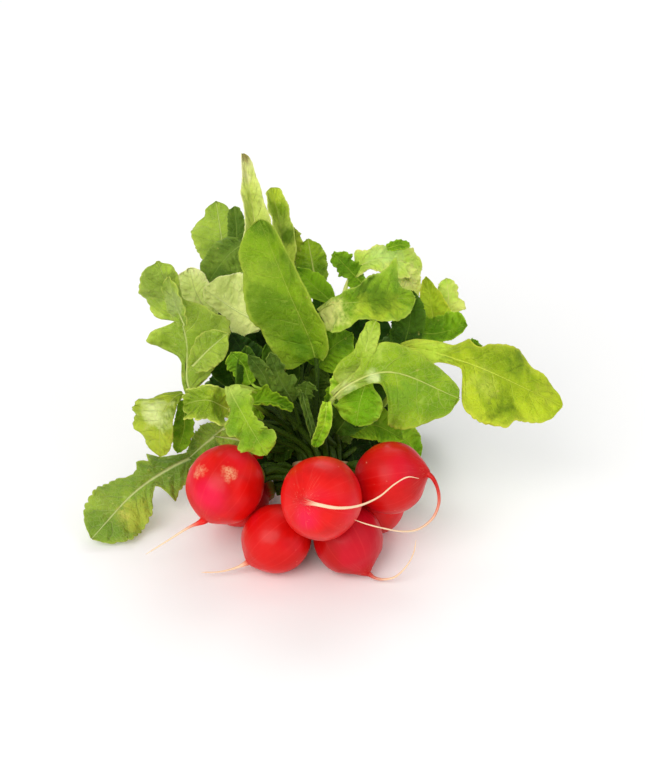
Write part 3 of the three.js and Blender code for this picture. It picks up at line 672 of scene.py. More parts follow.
class BladeSkin(Finish):
    """One side of a leaf blade: cloudy greens with a rib, side veins and a net of fine ones.

    It reads the blade's maps: Veins, the share across it and the number of side veins passed, and
    Span, the way out from the rib and the share along it.
    """

    # Scales of the patterns, by how many of their clouds or cells go into a metre.
    PATCHES = 21.0
    CLOUDS = 60.0
    WANDER = 90.0
    SHINE = 150.0
    WRINKLES = 190.0
    RAGGED = 260.0
    SPECKS = 320.0
    CRINKLES = 420.0
    NET = 420.0
    FINE_NET = 1100.0
    GRAIN = 2200.0

    # How strongly each kind of vein shows among the lines, and the lines on the skin.
    VEIN_SHARE = 0.62
    NET_SHARE = 0.42
    FINE_SHARE = 0.18
    LINE_SHARE = 0.42
    UNDER_LINE_SHARE = 0.6

    # Depths of the relief in metres, with their strengths.
    LINE_DEPTH = (0.0007, 0.7)
    QUILT_DEPTH = (0.0015, 0.6)
    WRINKLE_DEPTH = (0.0023, 0.7)
    GRAIN_DEPTH = (0.0001, 0.3)

    SPECK: Colour = (0.6, 0.55, 0.12)
    ROUGHNESS = (0.46, 0.62)
    UNDER_ROUGHNESS = (0.6, 0.72)

    def __init__(self, green: Green, lower: bool = False) -> None:
        """Builds the material.

        Args:
            green: The tone of the leaf.
            lower: Whether this is the underside.
        """
        super().__init__(f"leaf_{green.name.lower()}_{'under' if lower else 'upper'}")
        self.colours = green.value
        self.lower = lower
        self.place = self.object_place()
        _, across, phase = self.map_place("Veins")
        _, self.out, self.along = self.map_place("Span")
        self.away = self.math("ABSOLUTE", across)
        wander = self.swing(self.noise(self.place, self.WANDER), 0.16)
        self.from_vein = self.math("PINGPONG", self.math("ADD", phase, wander), 0.5)
        self.rib = self.rise(self.out, 0.1, 0.5 * self.colours.rib, (1.0, 0.0))
        self.lines = self._lines()
        skin = self._blotched_and_shaded(self._under() if lower else self._upper())
        margin = self.times(self.rise(self.away, 0.9, 1.0), 0.55)
        skin = self.blend(margin, skin, self.colours.edge)
        self._raise()
        rough = self.UNDER_ROUGHNESS if lower else self.ROUGHNESS
        shine = self.rise(self.noise(self.place, self.SHINE), 0.2, 0.8, rough)
        self.set(Base_Color=skin, Roughness=shine)
        self.flesh(0.1, 0.002, (0.5, 1.0, 0.2), 0.15)

    def _lines(self) -> Socket:
        """How near the rib, a side vein or the nets are, each at its own strength."""
        width = self.rise(self.away, 0.0, 1.0, (0.06, 0.022))
        ratio = self.math("DIVIDE", self.from_vein, width)
        veins = self.math("SUBTRACT", 1.0, ratio, clamp=True)
        veins = self.times(veins, self.rise(self.away, 0.55, 0.95, (1.0, 0.1)))
        net = self.rise(self.cells(self.place, self.NET), 0.0, 0.09, (1.0, 0.0))
        fine = self.rise(self.cells(self.place, self.FINE_NET), 0.0, 0.14, (1.0, 0.0))
        lines = self.rib
        for kind, share in (
            (veins, self.VEIN_SHARE), (net, self.NET_SHARE), (fine, self.FINE_SHARE)
        ):
            lines = self.math("MAXIMUM", lines, self.times(kind, share))
        return lines

    def _cloud(self) -> Socket:
        """Where the lighter green is."""
        return self.rise(self.noise(self.place, self.CLOUDS, 5.0, 0.6), 0.38, 0.64)

    def _under(self) -> Socket:
        """The colour of the underside."""
        colours = self.colours
        skin = self.blend(self.times(self._cloud(), 0.4), colours.under, colours.light)
        return self.blend(self.times(self.lines, self.UNDER_LINE_SHARE), skin, colours.vein)

    def _upper(self) -> Socket:
        """The colour of the upper side."""
        colours = self.colours
        patch = self.rise(self.noise(self.place, self.PATCHES, 2.0), 0.56, 0.76)
        specks = self.rise(self.noise(self.place, self.SPECKS, 2.0), 0.7, 0.76)
        skin = self.blend(self._cloud(), colours.dark, colours.light)
        rib = self.math("MULTIPLY", self.rib, 0.3 * colours.rib, clamp=True)
        for share, colour in (
            (self.times(patch, 0.45), colours.edge),
            (self.times(self.rise(self.away, 0.55, 1.0), 0.2), colours.edge),
            (self.times(specks, 0.4), self.SPECK),
            (self.rise(self.along, 0.02, 0.34, (colours.base, 0.0)), colours.vein),
            (self.rise(self.along, 0.8, 0.97, (0.0, colours.tip)), colours.edge),
            (self.times(self.lines, self.LINE_SHARE), colours.vein),
            (rib, colours.vein),
        ):
            skin = self.blend(share, skin, colour)
        return skin

    def _blotched_and_shaded(self, skin: Socket) -> Socket:
        """Adds the blotches of this tone, which are partly its own colour and partly painted shade and
        painted light.

        Args:
            skin: The colour without them.

        Returns:
            The colour with them.
        """
        # Some spots are the leaf's own blotches, the others painted shade and painted light.
        for spot, reach, colour in self.colours.blotches_and_painted_shading:
            ragged = self.swing(self.noise(self.place, self.RAGGED, 5.0), 1.8)
            far = self.reached(self.place, spot, reach, ragged)
            skin = self.blend(self.rise(far, 0.2, 1.2, (0.9, 0.0)), skin, colour)
        return skin

    def _raise(self) -> None:
        """Sinks the lines, or raises them on the underside, and adds the wrinkles between them."""
        lines = self.times(self.lines, 1.0 if self.lower else -1.0)
        crinkles = self.times(self.noise(self.place, self.CRINKLES), 0.8)
        self.bump(self.math("ADD", lines, crinkles), *self.LINE_DEPTH)
        quilt = self.times(self.from_vein, self.rise(self.away, 0.1, 0.4))
        self.bump(quilt, *self.QUILT_DEPTH)
        self.bump(self.noise(self.place, self.WRINKLES, 4.0, 0.5), *self.WRINKLE_DEPTH)
        self.bump(self.noise(self.place, self.GRAIN, 2.0), *self.GRAIN_DEPTH)


class StalkSkin(Finish):
    """The skin of a stalk: streaked along its length, and painted dark as shade between the radishes.

    CORES are the middles of that painted shade, which reaches DARK_TO millimetres and ends at
    LIGHT_FROM.
    """

    CORES: tuple[Triple, ...] = ((0, 60, 46), (-5, 28, 28))
    DARK_TO = 27
    LIGHT_FROM = 39
    # The two colours of the painted shade on the stalks.
    LOW: Colour = (0.06, 0.12, 0.004)
    SHADED: Colour = (0.014, 0.036, 0.001)

    def __init__(self, green: Green) -> None:
        """Builds the material from the stalk's own map.

        Args:
            green: The tone of its leaf.
        """
        super().__init__(f"stalk_{green.name.lower()}")
        colours = green.value
        uv, _, _ = self.map_place("Stalk")
        streak = self.noise(self.stretched(uv, (9.0, 0.35, 1.0)), 3.0)
        streaky = self.rise(streak, 0.35, 0.65)
        place = self.object_place()
        lit = self.blend(streaky, self.blend(0.35, colours.light, colours.vein), colours.vein)
        # Painted shade: near the cores the stalk takes these dark colours instead of its lit green.
        dark = self.blend(streaky, self.LOW, self.SHADED)
        nearest = self.math("MINIMUM", *(self.distance(place, core) for core in self.CORES))
        outer = self.rise(nearest, self.DARK_TO * MM, self.LIGHT_FROM * MM)
        self.bump(streak, 0.0003, 0.5)
        self.set(Base_Color=self.blend(outer, dark, lit), Roughness=0.5)
        self.flesh(0.1, 0.003, (0.6, 1.0, 0.3), 0.2)


class RadishSkin(Finish):
    """The skin of a bulb and its tap root: red with streaks and scars, then cream at the root.

    It reads the bulb's Skin map: the way round it, and the share of the tap root, which starts
    on the bulb about it and is below 0 on the neck.
    """

    RED: Colour = (0.78, 0.005, 0.003)
    DEEP: Colour = (0.42, 0.001, 0.001)
    MAGENTA: Colour = (0.76, 0.004, 0.05)
    PINK: Colour = (0.9, 0.07, 0.06)
    CREAM: Colour = (0.89, 0.65, 0.42)
    SCAR: Colour = (0.86, 0.42, 0.28)
    CORK: Colour = (0.84, 0.5, 0.26)
    NECK: Colour = (0.17, 0.22, 0.025)

    # Scales of the patterns, by how many of their clouds or cells go into a metre.
    PATCHES = 38.0
    CLOUDS = 55.0
    SHINE = 80.0
    BLUSH_EDGE = 90.0
    RARE = 120.0
    PORES = 260.0
    SCAR_EDGE = 420.0
    GRAIN = 700.0
    MOTTLE = 1300.0

    # How often the streaks and the fine hair lines repeat round the bulb and along it.
    STREAKS: Triple = (26.0, 1.6, 1.0)
    HAIRS: Triple = (70.0, 14.0, 1.0)

    def __init__(self, radish: "Radish") -> None:
        """Builds the material.

        Args:
            radish: The radish, whose root may be pale where it leaves the bulb, and which may be
                blushed or scarred.
        """
        super().__init__(f"skin_{radish.name}")
        self.radish = radish
        self.place = self.object_place()
        self.uv, _, self.root = self.map_place("Skin")
        self.streak = self.noise(self.stretched(self.uv, self.STREAKS), 2.0, 4.0)
        self.bump(self.streak, 0.0004, 0.2)
        self.bump(self.noise(self.place, self.GRAIN), 0.0002, 0.3)
        self.set(
            Base_Color=self._ends(self._blemished(self._reds())),
            Roughness=self.rise(self.noise(self.place, self.SHINE), 0.3, 0.7, (0.3, 0.46)),
            Coat_Weight=0.05,
            Coat_Roughness=0.25,
        )
        self.flesh(0.04, 0.003, (1.0, 0.2, 0.15), 0.2)

    def _reds(self) -> Socket:
        """The cloudy red of the bulb, darkened with painted shade, with its blushes and streaks."""
        cloud = self.rise(self.noise(self.place, self.CLOUDS, 3.0, 0.6), 0.4, 0.75)
        # Painted shade: the red of a bulb under the leaves is darkened towards deep red.
        red = tuple(mix(a, b, self.radish.depth) for a, b in zip(self.RED, self.DEEP))
        skin = self.blend(self.times(cloud, 0.6), red, self.DEEP)
        patch = self.rise(self.noise(self.place, self.PATCHES, 2.0), 0.5, 0.66)
        skin = self.blend(self.times(patch, 0.28), skin, self.MAGENTA)
        for spot, reach in self.radish.blush:
            ragged = self.swing(self.noise(self.place, self.BLUSH_EDGE), 1.0)
            far = self.reached(self.place, spot, reach, ragged)
            skin = self.blend(self.rise(far, 0.1, 1.1, (0.85, 0.0)), skin, self.MAGENTA)
        return self.blend(self.times(self.rise(self.streak, 0.52, 0.75), 0.2), skin, self.PINK)

    def _blemished(self, skin: Socket) -> Socket:
        """Adds rare pores, the hair lines near the root, and the scars.

        Args:
            skin: The colour without them.

        Returns:
            The colour with them.
        """
        stretched = self.stretched(self.place, (1.0, 1.0, 2.2))
        pores = self.rise(self.cells(stretched, self.PORES, "F1"), 0.05, 0.16, (1.0, 0.0))
        rare = self.rise(self.noise(self.place, self.RARE, 2.0), 0.56, 0.66)
        skin = self.blend(self.times(pores, self.times(rare, 0.5)), skin, self.SCAR)
        hairs = self.noise(self.stretched(self.uv, self.HAIRS), 1.6, 3.0, 0.8)
        near = self.rise(self.root, -0.005, 0.09)
        hair = self.times(self.rise(hairs, 0.6, 0.72), self.times(near, 0.42))
        skin = self.blend(hair, skin, self.SCAR)
        if self.radish.scars:
            skin = self.blend(self.times(self._scarred(), 0.6), skin, self.CORK)
        return skin

    def _scarred(self) -> Socket:
        """How corky the skin is, from where this radish was rubbed."""
        ragged = self.swing(self.noise(self.place, self.SCAR_EDGE, 4.0), 1.6)
        corky: Value = 0.0
        for spot, reach in self.radish.scars:
            far = self.reached(self.place, spot, reach, ragged)
            corky = self.math("MAXIMUM", corky, self.rise(far, 0.1, 0.9, (1.0, 0.0)))
        mottled = self.rise(self.noise(self.place, self.MOTTLE, 2.0), 0.38, 0.58, (0.35, 1.0))
        return self.times(corky, mottled)

    def _ends(self, skin: Socket) -> Socket:
        """Adds the cream of the root and the green of the neck, both frayed.

        Args:
            skin: The colour of the bulb.

        Returns:
            The colour of the whole.
        """
        pale = self.radish.pale_root
        fade = self.math("ADD", self.root, self.swing(self.streak, 0.3))
        cream = self.rise(fade, mix(0.26, 0.2, pale), mix(0.62, 0.28, pale))
        skin = self.blend(cream, skin, self.CREAM)
        frayed = self.math("ADD", self.root, self.swing(self.streak, 0.12))
        return self.blend(self.rise(frayed, -0.12, -0.055, (0.9, 0.0)), skin, self.NECK)


class BandSkin(Finish):
    """Tan rubber with a fine grain and a little dust."""

    TAN: Colour = (0.5, 0.33, 0.14)
    DUSTY: Colour = (0.62, 0.47, 0.27)
    DUST = 160.0
    GRAIN = 1500.0

    def __init__(self) -> None:
        """Builds the material."""
        super().__init__("band_rubber")
        place = self.object_place()
        dust = self.rise(self.noise(place, self.DUST, 4.0), 0.35, 0.65)
        self.bump(self.noise(place, self.GRAIN, 2.0), 0.0002, 0.4)
        self.set(
            Base_Color=self.blend(dust, self.TAN, self.DUSTY),
            Roughness=self.rise(dust, 0.0, 1.0, (0.5, 0.7)),
        )


@dataclass(frozen=True)
class Radish:
    """One radish: a round bulb with its neck, drawn out at the other end into the tap root.

    Sizes are in millimetres. stretch is how much longer the bulb is than wide, tall how much
    higher, and taper how far it runs out into the root, whose radius at the bulb is tail. crown
    looks out through the neck. The stalks run straight for dive before the tie. How much the red
    is darkened towards deep red is painted shade, for the bulbs that lie under the leaves. scars
    and blush are spots, each with its reach.
    """

    name: str
    centre: Triple
    radius: float
    stretch: float
    tail: float
    crown: Triple
    root: tuple[Triple, ...]
    dive: float = STRAIGHT
    pale_root: float = 0.5
    taper: float = 0.06
    tall: float = 0.0
    depth: float = 0.0
    scars: tuple[tuple[Triple, float], ...] = ()
    blush: tuple[tuple[Triple, float], ...] = ()
    seed: float = 0.0

    # Shares of the radius: the waist before the root, the dimple round the neck, and the lumps.
    WAIST = 0.025
    DIMPLE = 0.05
    LUMPS = 0.022
    FINE_LUMPS = 0.006

    # Angles in radians: the cone's width round the root, and where the waist lies from the root
    # and the dimple from the crown, each with its width.
    CONE = 0.19
    WAIST_AT = (0.5, 0.25)
    DIMPLE_AT = (0.33, 0.12)

    # Faces round the bulb and from pole to pole, and round the root and the neck and along it.
    BULB_FACES = (72, 56)
    ROOT_SIDES = 14
    NECK_FACES = (32, 16)

    # Radius of the root's thread-like end, and how deep the neck begins inside the bulb.
    THREAD = 0.24
    NECK_SUNK = 3.5

    @property
    def way_out(self) -> Vector:
        """The direction of the crown."""
        return Vector(self.crown).normalized()

    def _reach(self, way: Vector, axis: Vector, base: float) -> float:
        """How far the skin is from the centre.

        Args:
            way: The direction looked in.
            axis: The direction of the root.
            base: How far out the root leaves the bulb, in millimetres.

        Returns:
            The distance in millimetres.
        """
        off = math.acos(max(-1.0, min(1.0, way.dot(axis))))
        across = math.sin(off)
        long = 1 + (self.stretch - 1) * (1 - across * across)
        flare = max(0.0, base - self.radius * self.stretch) + self.taper * self.radius
        cone = flare * math.exp(-((off / self.CONE) ** 1.2))
        at_crown = math.acos(max(-1.0, min(1.0, way.dot(self.way_out))))
        lumps = self.LUMPS * noise.noise(way * 1.5 + Vector((self.seed, 3.1, 0)))
        fine = self.FINE_LUMPS * noise.noise(way * 6.0 + Vector((self.seed, 0, 9.7)))
        waist = self.WAIST * bell(off, *self.WAIST_AT)
        sunk = waist + self.DIMPLE * bell(at_crown, *self.DIMPLE_AT)
        return self.radius * (long * (1 + self.tall * way.z**2) + lumps + fine - sunk) + cone

    def _bulb(self, bm: bmesh.types.BMesh, axis: Vector, base: float) -> None:
        """Adds the round body, whose pole lies where the root leaves it.

        Args:
            bm: The mesh that takes it.
            axis: The direction of the root.
            base: How far out the root leaves the bulb, in millimetres.
        """
        around, down = self.BULB_FACES
        made = bmesh.ops.create_uvsphere(bm, u_segments=around, v_segments=down, radius=1.0)
        verts = made["verts"]
        faces = list({f for v in verts for f in v.link_faces})
        turn = Vector((0, 0, -1)).rotation_difference(axis).to_matrix()
        layer = bm.loops.layers.uv.new("Skin")
        for face in faces:
            middle = math.atan2(*face.calc_center_median().yx) / (2 * math.pi)
            for loop in face.loops:
                co = loop.vert.co
                angle = math.atan2(co.y, co.x) / (2 * math.pi)
                angle += round(middle - angle) if co.xy.length > 1e-4 else middle - angle
                off = math.acos(max(-1.0, min(1.0, -co.z)))
                share = 0.16 * (1 - smooth(0.0, 0.42, off)) + 0.035 * (1 - smooth(0.3, 1.2, off))
                loop[layer].uv = (angle, share - 0.03 * off / math.pi)
        for vert in verts:
            way = turn @ vert.co
            reach = self._reach(way.normalized(), axis, base)
            vert.co = placed(Vector(self.centre) + way * reach)

    def _root(self, bm: bmesh.types.BMesh) -> None:
        """Adds the tap root, from inside the bulb to its thread-like end.

        Args:
            bm: The mesh that takes it.
        """
        start = Vector(self.root[0]).lerp(Vector(self.centre), 0.2)
        curve = Curve([start, *map(Vector, self.root)])
        spine = Spine(curve, Vector((0.31, 0.42, 0.85)), 0.0)

        def radius(y: float) -> float:
            """The radius at a share of the root: a flare, then a thinning, knotty body."""
            out = y * curve.length
            knots = 1 + 0.12 * noise.noise(Vector((out * 0.35, self.seed, 5.0)))
            body = self.THREAD + (0.36 * self.tail - self.THREAD) * (1 - y) ** 1.6
            flare = 0.62 * self.tail * math.exp(-((max(0.0, out - 2.5) / 3.0) ** 1.4))
            return (body + flare) * knots * (1 - 0.6 * smooth(0.9, 1.0, y))

        skin = ("Skin", lambda x, y: (x, 0.12 + 0.88 * y))
        rings = max(24, int(curve.length * 1.6))
        tube(bm, spine, (0.0, 1.0), radius, self.ROOT_SIDES, rings, (skin,))

    def _neck(self, bm: bmesh.types.BMesh) -> None:
        """Adds the short neck that carries the stalks.

        Args:
            bm: The mesh that takes it.
        """
        low = self.radius * self.stretch - self.NECK_SUNK
        step = (NECK_HEIGHT + self.NECK_SUNK) / 3
        points = [Vector(self.centre) + self.way_out * (low + step * i) for i in range(4)]
        spine = Spine(Curve(points), Vector((0.2, 0.3, 0.9)), 0.0)
        skin = ("Skin", lambda x, y: (x, -0.03 - 0.12 * y))

        def radius(y: float) -> float:
            """The radius at a share of the neck, which is broad below and rounded above."""
            broad = NECK_RADIUS + 1.6 * (1 - smooth(0.0, 0.9, y))
            return broad * (1 - 0.45 * smooth(0.75, 1.0, y))

        tube(bm, spine, (0.0, 1.0), radius, *self.NECK_FACES, (skin,))

    def build(self) -> bpy.types.Object:
        """Makes the radish.

        Returns:
            The piece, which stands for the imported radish.
        """
        way = Vector(self.root[0]) - Vector(self.centre)
        bm = bmesh.new()
        self._bulb(bm, way.normalized(), way.length)
        self._root(bm)
        self._neck(bm)
        piece = made_object(bm, f"{self.name}_fine", [RadishSkin(self).material])
        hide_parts(self.name)
        return piece


# Some bulbs below have their red darkened with painted shade.
RADISHES = (
    Radish(
        "bulb_left_top", (-35.5, 10, 34), 15.8, 1.05, 2.2, (0.72, 0.6, -0.12),
        ((-44, 1.5, 22.5), (-50, 0, 20), (-59, -1, 14), (-68, -2, 8)),
        pale_root=0.3, taper=0.02, seed=1.3,
        scars=(((-45.3, 3.6, 44.9), 4.2), ((-33.1, 0, 46.2), 4.6)),
        blush=(((-41.9, -4.2, 37.5), 9),),
    ),
    Radish(
        "bulb_middle_top", (3.8, -10.5, 41), 16, 1.05, 2.4, (0.1, 0.97, -0.2),
        (
            (-2.5, -24, 48.5), (2.2, -28.5, 50.1), (9.9, -28.5, 48.5), (18.1, -24, 46.4),
            (26.4, -17, 46), (32.8, -11, 48.1), (38, -9, 50.1), (42.4, -8, 48.8),
        ),
        pale_root=1.0, tall=0.07, depth=0.1, seed=2.9,
        blush=(((-2.1, -25.6, 41), 7),),
    ),
    Radish(
        "bulb_right_top", (32, 10, 37.4), 13.9, 1.08, 2.6, (-0.7, 0.7, -0.25),
        (
            (44, 7.5, 41.5), (48, 5, 41.5), (50.6, 2, 37.8), (51.2, -1, 32.5), (48.8, -4, 27.3),
            (43.1, -8, 24.7), (36, -13, 26.9), (27.8, -17, 31.3), (21.5, -18, 33.9),
            (15.9, -18, 36.3),
        ),
        pale_root=0.0, taper=0.14, tall=0.08, depth=0.45, seed=4.1,
    ),
    Radish(
        "bulb_left_front", (-14.7, 0, 14.3), 14.2, 1.02, 2, (0.45, 0.85, 0.28),
        ((-25, -5, 7), (-31, -6.5, 4.5), (-38, -8, 3.5), (-45, -9, 4)),
        pale_root=0.6, taper=0.07, depth=0.35, seed=5.7,
    ),
    Radish(
        "bulb_right_front", (14.7, 0, 14.3), 14.2, 1.04, 2.2, (-0.3, 0.88, 0.36),
        ((21, -8, 5.5), (26, -11, 2.5), (33, -12, 3.5), (38, -11, 8), (41, -10, 14), (42, -9, 20)),
        pale_root=0.3, taper=0.2, depth=0.75, seed=7.2,
    ),
    Radish(
        "bulb_right_middle", (25.5, 27, 14), 13.6, 1.03, 1.8, (-0.85, 0.5, 0.1),
        ((26, 39, 7.5), (27, 45, 4), (28, 51, 2.5), (30, 57, 2)),
        seed=8.8,
    ),
    Radish(
        "bulb_left_middle", (-31, 32, 14), 13, 1.02, 1.8, (0.95, 0.28, 0.12),
        ((-38, 40, 7), (-42, 44, 4), (-46, 48, 2.5), (-50, 51, 2)),
        seed=10.4,
    ),
    Radish(
        "bulb_rear", (-23.5, 62, 19), 12.4, 1.02, 1.6, (0.71, -0.61, -0.34),
        ((-30, 71, 14), (-33, 76, 9), (-35, 81, 5), (-36, 87, 2)),
        dive=10, seed=11.6,
    ),
)


@dataclass(frozen=True)
class Blade:
    """A leaf blade with its rib, along a route from its base to its tip.

    face is where the upper side looks. The outline on each side of the rib is given by knots, each
    a share of the blade and a half-width in millimetres. Without right the right side mirrors the
    left one. Without left too, the blade is a plain end lobe of the half-width half, whose tip is
    blunter with a smaller point, and ears is the reach of the two side lobes below it. fold and
    cup lift the margins, in degrees, and sweep draws their base back.
    """

    name: str
    node: str
    green: Green
    route: tuple[Triple, ...]
    _: KW_ONLY
    face: Triple
    half: float = 8.0
    left: Knots = ()
    right: Knots = ()
    ears: float = 0.0
    point: float = 0.6
    fold: float = 0.0
    cup: float = 0.0
    sweep: float = 0.0
    teeth: float = 0.06
    wave: float = 1.0
    pucker: float = 0.8
    veins: int = 8

    # Faces across the blade and along it.
    ACROSS = 30
    ALONG = 96

    # Radii of the stalk at its foot, its middle and its end, and of the rib at the tip.
    STALK = (1.6, 1.3, 0.9)
    RIB_TIP = 0.15
    SUNK = 0.3
    STALK_SIDES = 10
    GROOVE = 0.25

    # The plain outline: the ears' place and span, where the end lobe begins and is widest.
    EAR_AT = 0.18
    EAR_SPAN = 0.12
    EARS_END = 0.3
    WIDEST = 0.42
    WING = 1.2
    LEAN = 0.55

    # Heights of the waves as shares of the half-width, and their pace in radians a blade.
    SWELL = 0.1
    SWELL_PACE = 14
    RIPPLE = 0.09
    RIPPLE_PACE = 31

    THICKNESS = 0.45
    FLOOR = 0.9

    @property
    def seed(self) -> float:
        """A number that makes this leaf's irregularities its own."""
        return sum(ord(c) * (i + 1) for i, c in enumerate(self.name)) % 97 * 0.37

    def _plain(self, along: float) -> float:
        """Half-width of a plain end lobe with its ears and the narrow wing below it.

        Args:
            along: The share of the blade.

        Returns:
            The half-width in millimetres.
        """
        end = self.EARS_END if self.ears else 0.0
        x = min(1.0, max(0.0, (along - end) / (1 - end)))
        bend = math.log(0.5) / math.log(self.WIDEST)
        half = self.half * max(0.0, math.sin(math.pi * x**bend)) ** self.point
        away = abs(along - self.EAR_AT) / self.EAR_SPAN
        if away < 1:
            half = max(half, self.ears * math.cos(away * math.pi / 2) ** 0.6)
        return max(half, self.WING * min(1.0, (1 - along) * 8) * min(1.0, along * 12))

    def _toothed(self, along: float, side: int) -> float:
        """Half-width with its teeth and its irregular edge.

        Args:
            along: The share of the blade.
            side: -1 for the left side and 1 for the right.

        Returns:
            The half-width in millimetres.
        """
        knots = self.left if side < 0 else self.right or self.left
        half = outline(knots, along) if knots else self._plain(along)
        start = self.seed + side * 1.7
        beat = along * self.veins * 2.6 + 0.7 * noise.noise(Vector((along * 6, start, 0)))
        tooth = abs(math.sin(math.pi * beat)) ** 0.7 - 0.6
        uneven = noise.noise(Vector((along * 11, start, 4.0)))
        return half * (1 + self.teeth * (tooth + 0.9 * uneven))

    def _phase(self, along: float, across: float) -> float:
        """How many side veins lie between the base and a place on the blade.

        Args:
            along: The share of the blade.
            across: The share of its half-width, negative on the left.

        Returns:
            The number, with a fraction between two veins.
        """
        lean = 0.13 * self.veins * abs(across) if self.left else 0.0
        shift = 0.5 if across < 0 else 0.0
        return along * self.veins - 0.36 * abs(across) ** 1.6 - lean + shift

    def _lift(self, along: float, across: float, half: float) -> float:
        """How far waves, puckers and crumples lift the blade off its fold.

        Args:
            along: The share of the blade.
            across: The share of its half-width, negative on the left.
            half: The half-width in millimetres.

        Returns:
            The lift in millimetres.
        """
        edge = abs(across)
        swell, ripple = (0.0, 0.0) if across < 0 else (2.0, 2.6)
        long = math.sin(math.pi * along) * math.sin(self.SWELL_PACE * along + self.seed + swell)
        short = math.sin(self.RIPPLE_PACE * along + self.seed + ripple)
        waves = half * (self.SWELL * edge**2 * long + self.wave * self.RIPPLE * edge**3 * short)
        body = smooth(0.0, 0.25, edge) * (1 - smooth(0.8, 1.0, edge))
        quilt = abs(math.sin(math.pi * self._phase(along, across))) - 0.6
        puckers = 0.3 * quilt * smooth(5.0, 13.0, half)
        crumples = 0.8 * noise.noise(Vector((across * half * 0.16, along * 9, self.seed)) * 1.6)
        return waves + self.pucker * body * (puckers + crumples)

    def _shear(self, along: float, out: float, rib: float) -> float:
        """How far a point of the blade lies ahead of its place on the rib.

        Args:
            along: The share of the blade.
            out: How far the point is from the middle of the rib, in millimetres.
            rib: How much of that the rib takes up.

        Returns:
            The distance in millimetres.
        """
        if not self.left:
            return self.LEAN * (1 - along) * (out - rib)
        return -self.sweep * out * (1 - smooth(0.0, 0.25, along))

    def _blade(self, spine: Spine, start: float) -> bmesh.types.BMesh:
        """The blade as one open sheet, whose upper side faces out.

        Args:
            spine: The line along the stalk and the rib.
            start: The share of it at which the blade begins.

        Returns:
            The mesh, with its two maps.
        """

        def shares(x: float, y: float) -> tuple[float, float]:
            """The shares across the blade, from -1 to 1, and along it, closer at the tip."""
            wide = 2 * x - 1
            return math.copysign(abs(wide) ** 0.85, wide), math.sin(y * math.pi / 2) ** 1.15

        def widths(x: float, y: float) -> tuple[float, float, float, float]:
            """Both shares, the rib's half-width and the blade's."""
            across, along = shares(x, y)
            rib = mix(self.STALK[2], self.RIB_TIP, along)
            return across, along, rib, rib + self._toothed(along, -1 if across < 0 else 1)

        def place(x: float, y: float) -> Vector:
            """A point of the sheet."""
            across, along, rib, half = widths(x, y)
            station = spine.at(mix(start, 1.0, along))
            out = abs(across) * half
            lift = math.radians(self.fold + self.cup * abs(across))
            up = out * math.sin(lift) + self._lift(along, across, half) - 0.25 * bell(out, 0, 1.2)
            return placed(
                station.place
                + station.side * (math.copysign(out, across) * math.cos(lift))
                + station.normal * up
                + station.ahead * self._shear(along, out, rib * abs(across)),
                self.FLOOR,
            )

        def vein_map(x: float, y: float) -> tuple[float, float]:
            """The share across the blade and the side veins passed."""
            across, along = shares(x, y)
            return across, self._phase(along, across)

        def span_map(x: float, y: float) -> tuple[float, float]:
            """The way out from the rib, which counts for more at the tip, and the share along."""
            across, along, _, half = widths(x, y)
            return abs(across) * half / (1.0 - 0.8 * along), along

        bm = bmesh.new()
        grid(bm, self.ACROSS, self.ALONG, place, (("Veins", vein_map), ("Span", span_map)))
        bm.normal_update()
        middle = spine.at((1 + start) / 2).normal
        if sum((f.normal.dot(middle) for f in bm.faces), 0.0) < 0:
            bmesh.ops.reverse_faces(bm, faces=bm.faces)
        return bm

    def _stalk(self, spine: Spine, start: float) -> bmesh.types.BMesh:
        """The stalk, which goes on as the rib under the blade.

        Args:
            spine: The line along the stalk and the rib.
            start: The share of it at which the blade begins.

        Returns:
            The mesh, with its map.
        """
        base, middle, end = self.STALK
        first = 0.0 if start > 0 else 0.01

        def radius(y: float) -> float:
            """The radius at a share of the whole."""
            share = y / start if start > 0 else 1.0
            if share < 0.5:
                return mix(base, middle, share * 2)
            if share < 1:
                return mix(middle, end, share * 2 - 1)
            return mix(end, self.RIB_TIP, (y - start) / (1 - start))

        def sunk(y: float) -> float:
            """How far the rib lies under the blade."""
            return (radius(y) + self.SUNK) * smooth(start * 0.8, start + 0.01, y)

        bm = bmesh.new()
        length = spine.length
        stalk = ("Stalk", lambda x, y: (x, y * length))
        rings = max(30, int(length * 0.8))
        shares = (first, 0.985)
        tube(bm, spine, shares, radius, self.STALK_SIDES, rings, (stalk,), self.GROOVE, sunk)
        return bm

    def dress(self, curve: Curve, start: float, greens: "Greens") -> list[bpy.types.Object]:
        """Makes the blade and its stalk along a curve.

        Args:
            curve: The line along the stalk and the rib.
            start: The share of it at which the blade begins.
            greens: The finishes of the leaves.

        Returns:
            The blade and the stalk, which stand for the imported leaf.
        """
        spine = Spine(curve, Vector(self.face), (1 + start) / 2)
        skins = greens.blades[self.green]
        blade = made_object(self._blade(spine, start), f"{self.name}_blade", skins)
        wall = blade.modifiers.new("wall", "SOLIDIFY")
        wall.thickness = self.THICKNESS * MM
        wall.offset = -1.0
        wall.material_offset = 1
        skins = [greens.stalks[self.green]]
        stalk = made_object(self._stalk(spine, start), f"{self.name}_stalk", skins)
        for piece in (blade, stalk):
            if self.node:
                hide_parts(self.node)
            self.green.value.slot
        return [blade, stalk]


